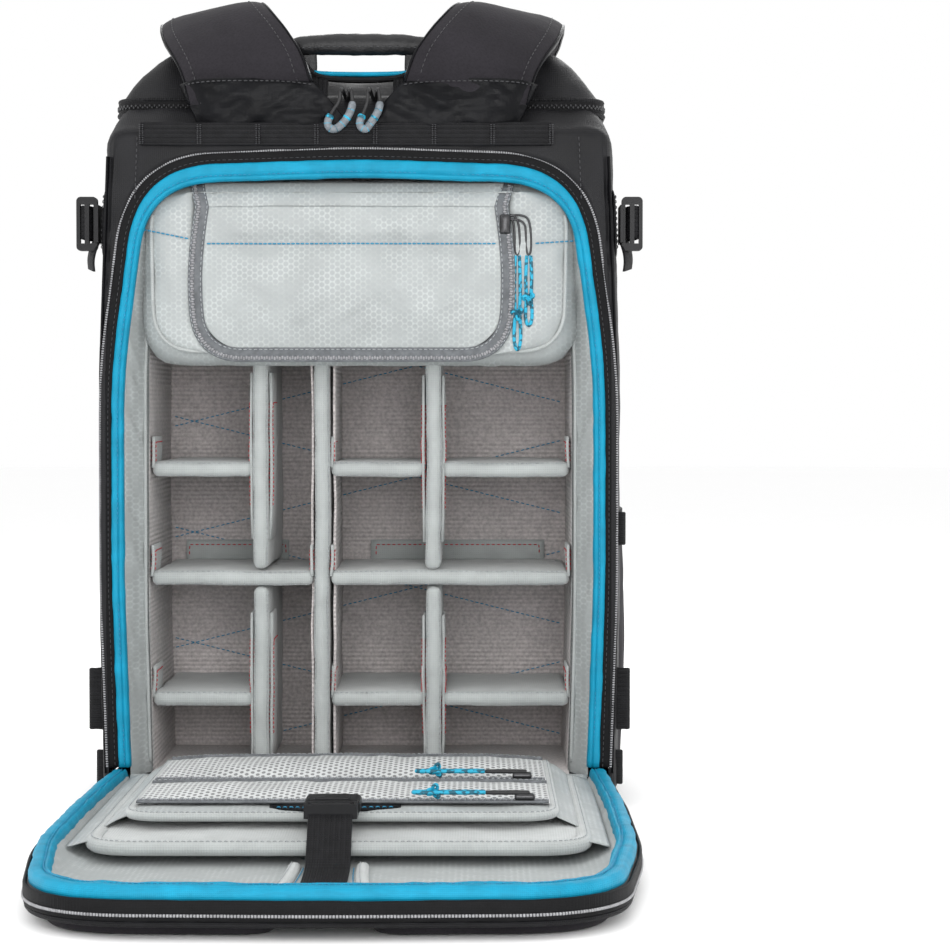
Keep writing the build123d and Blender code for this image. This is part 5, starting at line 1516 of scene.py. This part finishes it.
handle_low, handle_high = cad("grab_handle")
HANDLE_X, HANDLE_Y = (handle_low.x + handle_high.x) / 2, (handle_low.y + handle_high.y) / 2


def handle_line(points, y=0):
    return smooth_line([(HANDLE_X + x, HANDLE_Y + y, z) for x, z in points])


foot = handle_low.z + 14
line = even(handle_line(((-48, foot), (-49, 500), (-46, 506.5), (-28, 508), (0, 508), (28, 508), (46, 506.5), (49, 500),
                         (48, foot))), 2.0)
path = [(p, along.cross(BEHIND).normalized(), BEHIND) for p, along in zip(line, headings(line))]


def grip(i):
    """Section of the grip, thickest in the middle."""
    share = math.sin(math.pi * i / (len(path) - 1)) ** 0.4
    return [(0.5 * (9 + 5.5 * share) * u, 0.5 * (7 + 5 * share) * w) for u, w in circle(1, 16)]


crumple(sweep("handle_grip", path, grip, LEATHER, "handle", "handle_leather", replaces="grab_handle", fill=0.9), 0.5, 7,
        160)
stitches("handle_seam", [p + Vector((0, -5.9, -2.2)) for p, _, _ in path[8:-8]], BACK, BLACK_THREAD, "handle",
         "handle_leather", 2.6, 1.6, 0.35)
ribbon("handle_lower_trim", handle_line(((-31, 489.4), (-24, 488.6), (0, 488.2), (24, 488.6), (31, 489.4)), 1), BEHIND,
       7.5, 3.0, BINDING, "handle", "binding", 2.0)
for side, label in SIDES:
    x = HANDLE_X + side * 28
    tab = smooth_line([(x, -98, 462), (x, -94, 474), (x, -86, 482), (x, HANDLE_Y, 490)])
    ribbon(f"handle_tab_{label}", tab, ACROSS, 13, 2.4, *BAG_WEB)
ribbon("handle_lower_web", handle_line(((-38, 496), (-30, 486), (0, 484), (30, 486), (38, 496)), 1), BEHIND, 9, 3.4,
       WEB_Y, "handle", "webbing", 2.0)
for side, label in SIDES:
    x = HANDLE_X + side * 37
    ribbon(f"handle_flank_{label}", [(x, HANDLE_Y, 484), (x - side * 0.5, HANDLE_Y + 0.5, 494), (x, HANDLE_Y, 505)],
           ACROSS, 15, 2.6, LEATHER, "handle", "webbing")
for x, label in ((-8.0, "left"), (10.0, "right")):
    padded_box(f"top_slider_{label}", (x - 5, -80, 463.5), (x + 5, -75.4, 471.5), 1.6, *BAG_METAL, (0, 0.6, 0), 2.2,
               replaces="top_sliders" if x < 0 else ())
    for dx, mark in ((-2.6, "a"), (2.6, "b")):
        wire = smooth_line([(x + dx * share, y, TOP_PULL_Z + dz) for share, y, dz in (
            (0, -79, -4), (0.6, -86, 0), (1, -98, 3), (1.2, -106, 2), (0.8, -111, 0))])
        tube(f"top_pull_{label}_{mark}", wire, 1.2, BLACK_CORD, "bag", "black_cord")


# ---- shoulder straps ----------------------------------------------------------------------------------
_, CREST_Y, CREST_Z = JOINTS["strap_left_middle_fold"]
BEND_Z = JOINTS["strap_left_end_fold"][2]
THICK = 15.0


def strap_line():
    """Centreline of a shoulder strap as (y, z, distance from the middle plane, width)."""
    keys = [
        (-99, 466, 70, 84), (-99.5, 479, 72, 86), (-97, 494, 77, 86), (-89, 508, 86, 82), (-76, 520, 95, 77),
        (-60, 527.5, 100, 73), (-45, 530.5, 102, 71), (-30, 531, 103, 71), (0, 529.5, 103, 72), (50, 527, 101, 74),
        (92, 526, 98, 76), (112, 523, 95, 76), (124, 514, 93, 76), (128, 500, 92, 75), (128.5, 484, 90, 74),
        (128.5, 440, 86, 72), (128.5, 390, 83, 70), (128.5, 350, 81, 68),
        (128.5, cad("strap_left_front_length")[0].z, 80, 62)]
    dense = []
    for a, b in zip(keys, keys[1:]):
        count = max(1, round(math.hypot(b[0] - a[0], b[1] - a[1]) / 4.0))
        dense += [[p + (q - p) * k / count for p, q in zip(a, b)] for k in range(count)]
    dense.append(list(keys[-1]))
    for _ in range(3):
        dense = [dense[0], *([(a + 2 * m + c) / 4 for a, m, c in zip(x, y, z)]
                             for x, y, z in zip(dense, dense[1:], dense[2:])), dense[-1]]
    return dense


def pad_section(wide, taper):
    """Crowned section of a foam strap: thin bound edges and a full middle."""
    shape = []
    for c, s in circle(1, 40):
        u = math.copysign(abs(c) ** 0.55, c) * wide / 2
        full = 1 - 0.42 * abs(u / (wide / 2)) ** 5
        shape.append((u * taper, math.copysign(abs(s) ** 0.62, s) * THICK / 2 * full * taper))
    return shape


def pad_height(inset, wide):
    """Height of the strap's face above its middle at a distance in from its edge."""
    share = 1 - 2 * inset / wide
    return THICK / 2 * (1 - share ** (2 / 0.55)) ** 0.31 * (1 - 0.42 * share ** 5)


STRAP = strap_line()


def strap_frames(side):
    """(point, across, out, width) all along one strap."""
    made = []
    for i, (y, z, x, wide) in enumerate(STRAP):
        ahead, behind = STRAP[min(i + 1, len(STRAP) - 1)], STRAP[max(i - 1, 0)]
        along = Vector((0, ahead[0] - behind[0], ahead[1] - behind[1])).normalized()
        tilt = 0.30 * math.exp(-((y + 70) / 42) ** 2) if z > 480 and y < 30 else 0.0
        across = (ACROSS * math.cos(tilt) - ACROSS.cross(along) * side * math.sin(tilt)).normalized()
        made.append((Vector((side * x, y, z)), across, across.cross(along).normalized(), wide))
    return made


def strap_span(name, side, first, last, body, blend, ends, replaces):
    """One length of the strap between two indices, with bound edges and a stitched seam on each."""
    frames = strap_frames(side)[first:last + 1]

    def soft(q, out):
        return q + out * (0.55 * wobble(q, 24, 170 + side) + 0.3 * wobble(q, 9, 171))

    def taper(i, shares):
        return shares[len(frames) - 1 - i] if ends[1] and len(frames) - 1 - i < 4 else 1.0
    rings = [[soft(p + across * u + out * w, out) for u, w in pad_section(wide, taper(i, (0.55, 0.84, 0.95, 0.99)))]
             for i, (p, across, out, wide) in enumerate(frames)]
    body = None if blend else body
    pieces = [loft(name, rings, FOAM, body, "strap_foam", True, ends, replaces=replaces, fill=0.85)]
    for edge in (-1, 1):
        label = "in" if edge * side < 0 else "out"
        path = [(p + across * edge * (wide / 2 - 0.6) * taper(i, (0.6, 0.88, 0.97, 1.0)), out, across * edge)
                for i, (p, across, out, wide) in enumerate(frames)]
        pieces.append(sweep(f"{name}_binding_{label}", path, rounded_section(6.0, 1.9, 0.9), SATIN, body, "webbing",
                            ends))
        seam = [soft(p + a * edge * (wide / 2 - 9) + o * (pad_height(9, wide) - 0.15), o)
                for p, a, o, wide in frames[:-4 if ends[1] else None]]
        pieces.append(stitches(f"{name}_seam_{label}", seam, lambda i: frames[min(len(frames) - 1, i)][2],
                               BLACK_THREAD, body, "strap_foam", 2.8, 1.2, 0.35))
    for piece in pieces if blend else ():
        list(blend)
        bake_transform(piece)


CUTS = [0, *(next(i for i, row in enumerate(STRAP) if test(*row[:2])) for test in (
    lambda y, z: z > PIVOT_Z + 8, lambda y, z: y > CREST_Y - 16, lambda y, z: y > CREST_Y + 16, lambda y, z: y > 108,
    lambda y, z: y > 120 and z < BEND_Z - 16)), len(STRAP) - 1]
for side, label in SIDES:
    upper, middle, end = (f"strap_{label}_{part}" for part in ("upper", "middle", "end"))
    x, root_y = side * 90 * MM, STRAP[0][0] * MM
    for k, (part, body, blend, node) in enumerate((
        ("root", "bag", ("bag", upper, (x, root_y, (PIVOT_Z - 10) * MM), (x, root_y, (PIVOT_Z + 8) * MM)), None),
        ("upper", upper, None, "yoke_length"),
        ("crest", upper, (upper, middle, (x, (CREST_Y - 16) * MM, CREST_Z * MM),
                          (x, (CREST_Y + 16) * MM, CREST_Z * MM)), None),
        ("middle", middle, None, "top_length"),
        ("bend", middle, (middle, end, (x, 0.108, 0.532), (x, 0.131, (BEND_Z - 16) * MM)), None),
        ("end", end, None, "front_length"),
    )):
        strap_span(f"strap_{label}_{part}_pad", side, CUTS[k], CUTS[k + 1], body, blend, (k == 0, k == 5),
                   f"strap_{label}_{node}" if node else ())
    webbing_low, webbing_high = cad(f"strap_{label}_webbing")
    wx, wy, z = (webbing_low.x + webbing_high.x) / 2, (webbing_low.y + webbing_high.y) / 2, webbing_high.z - 12
    ribbon(f"strap_{label}_webbing_tape", smooth_line([
        (wx, wy + 1.2, z + 2), (wx, wy + 0.6, z - 16), (wx + side * 1.0, wy - 0.6, z - 50),
        (wx - side * 0.8, wy + 0.4, z - 90), (wx, wy, webbing_low.z + 4), (wx, wy, webbing_low.z),
    ]), ACROSS, 25, 1.7, WEB_X, end, "webbing", replaces=f"strap_{label}_webbing")
    for k, (dz, tall) in enumerate(((-13, 4), (-4.5, 3), (4, 3), (10.5, 4))):
        padded_box(f"strap_{label}_lock_bar_{k}", (wx - 17, wy - 2.6, z + dz), (wx + 17, wy + 2.6, z + dz + tall), 1.3,
                   PLASTIC, end, "buckle_plastic", (0, 0.4, 0), 2.4)
    for x, mark in ((wx - 15.2, "a"), (wx + 15.2, "b")):
        padded_box(f"strap_{label}_lock_side_{mark}", (x - 2.2, wy - 2.4, z - 13), (x + 2.2, wy + 2.4, z + 14), 1.3,
                   PLASTIC, end, "buckle_plastic", (0, 0.3, 0), 2.4)
    y, z, x, _ = STRAP[-24]
    chest = [(side * (x + d), y + THICK / 2 + 1.0, z) for d in range(-30, 31, 6)]
    ribbon(f"strap_{label}_chest_band", chest, UP, 20, 1.6, WEB_Z, end, "webbing")

# ---- compression buckles on the sides --------------------------------------------------------------------
for side, label in SIDES:
    low, high = cad(f"side_buckle_{label}")
    z, body = (low.z + high.z) / 2, f"buckle_{label}"

    def patch(u, v):
        y, at = -88 + 52 * u, z + 22 * (1 if u < 0.7 else 1 - (u - 0.7) / 0.3 * 0.95) * (2 * v - 1)
        return side * (side_x(at, y - RIM_Y) + 1.2 - 0.9 * abs(2 * v - 1) ** 8), y, at
    sheet_grid(f"side_patch_{label}", patch, 30, 16, *BAG_SATIN, 1.6, replaces="anchor_patches" if side < 0 else ())
    edge = [*((0.06, v / 8) for v in range(1, 8)), *((0.06 + 0.62 * k / 8, 0.93) for k in range(9))]
    stitches(f"side_patch_thread_{label}", [Vector(patch(u, v)) + ACROSS * side * 0.2 for u, v in edge], ACROSS * side,
             *BAG_THREAD, 2.4, 1.3, 0.4)
    dress(f"side_buckle_{label}", 0.8)
    for name, line, across, wide, thick, cloth in (
        ("side_webbing", ((175.2, -60, 0), (176.5, -72, 0.5), (179, -80, 1), (184, -85.5, 1.5), (186.5, -82, 1),
                          (184.5, -76, 0.5), (180, -70, 0)), UP, 22, 1.8, WEB_Z),
        ("side_webbing_tail", ((176, -74, -9), (178.5, -79, -16), (179.5, -84, -24), (178.5, -86, -31)),
         (0.35 * side, 0.9, 0.15), 17, 1.6, WEB_Y),
    ):
        ribbon(f"{name}_{label}", smooth_line([(side * x, y, z + dz) for x, y, dz in line]), across, wide, thick, cloth,
               body, "webbing", 2.0)
    tabs = [(-92, 52, 93, 7.0), (-90, 15, 38, 3.4), (-90, 175, 197, 2.6)]
    for k, (y, z_low, z_high, stand) in enumerate(tabs if side > 0 else tabs[:2]):
        middle = (z_low + z_high) / 2
        at = side_x(middle, y - RIM_Y)
        loop = [(side * (at + out), y + dy, middle + dz) for out, dy, dz in (
            (-3, -2.4, 1), (stand, -2.2, 0), (stand + 1.2, 0, 0), (stand, 2.2, 0), (-3, 2.4, -1))]
        ribbon(f"side_tab_{label}_{k}", smooth_line(loop, 2), UP, z_high - z_low, 2.0, *BAG_WEB_UP, 1.5)


# ---- floor ------------------------------------------------------------------------------------------------
FLOOR_REACH, CORNERS = 9000.0, 96
floor_mesh = bpy.data.meshes.new("floor")
floor_mesh.from_pydata([(0, 0, 0), *((u * MM, w * MM, 0) for u, w in circle(FLOOR_REACH, CORNERS))], [],
                       [(0, 1 + k, 1 + (k + 1) % CORNERS) for k in range(CORNERS)])
floor = placed("floor", floor_mesh)
paper = Shader("studio_paper", (0.985, 0.985, 0.985), 0.9, 0.1).tint("grain", 90, 0.992, 1.0)
floor_mesh.materials.append(paper.done())
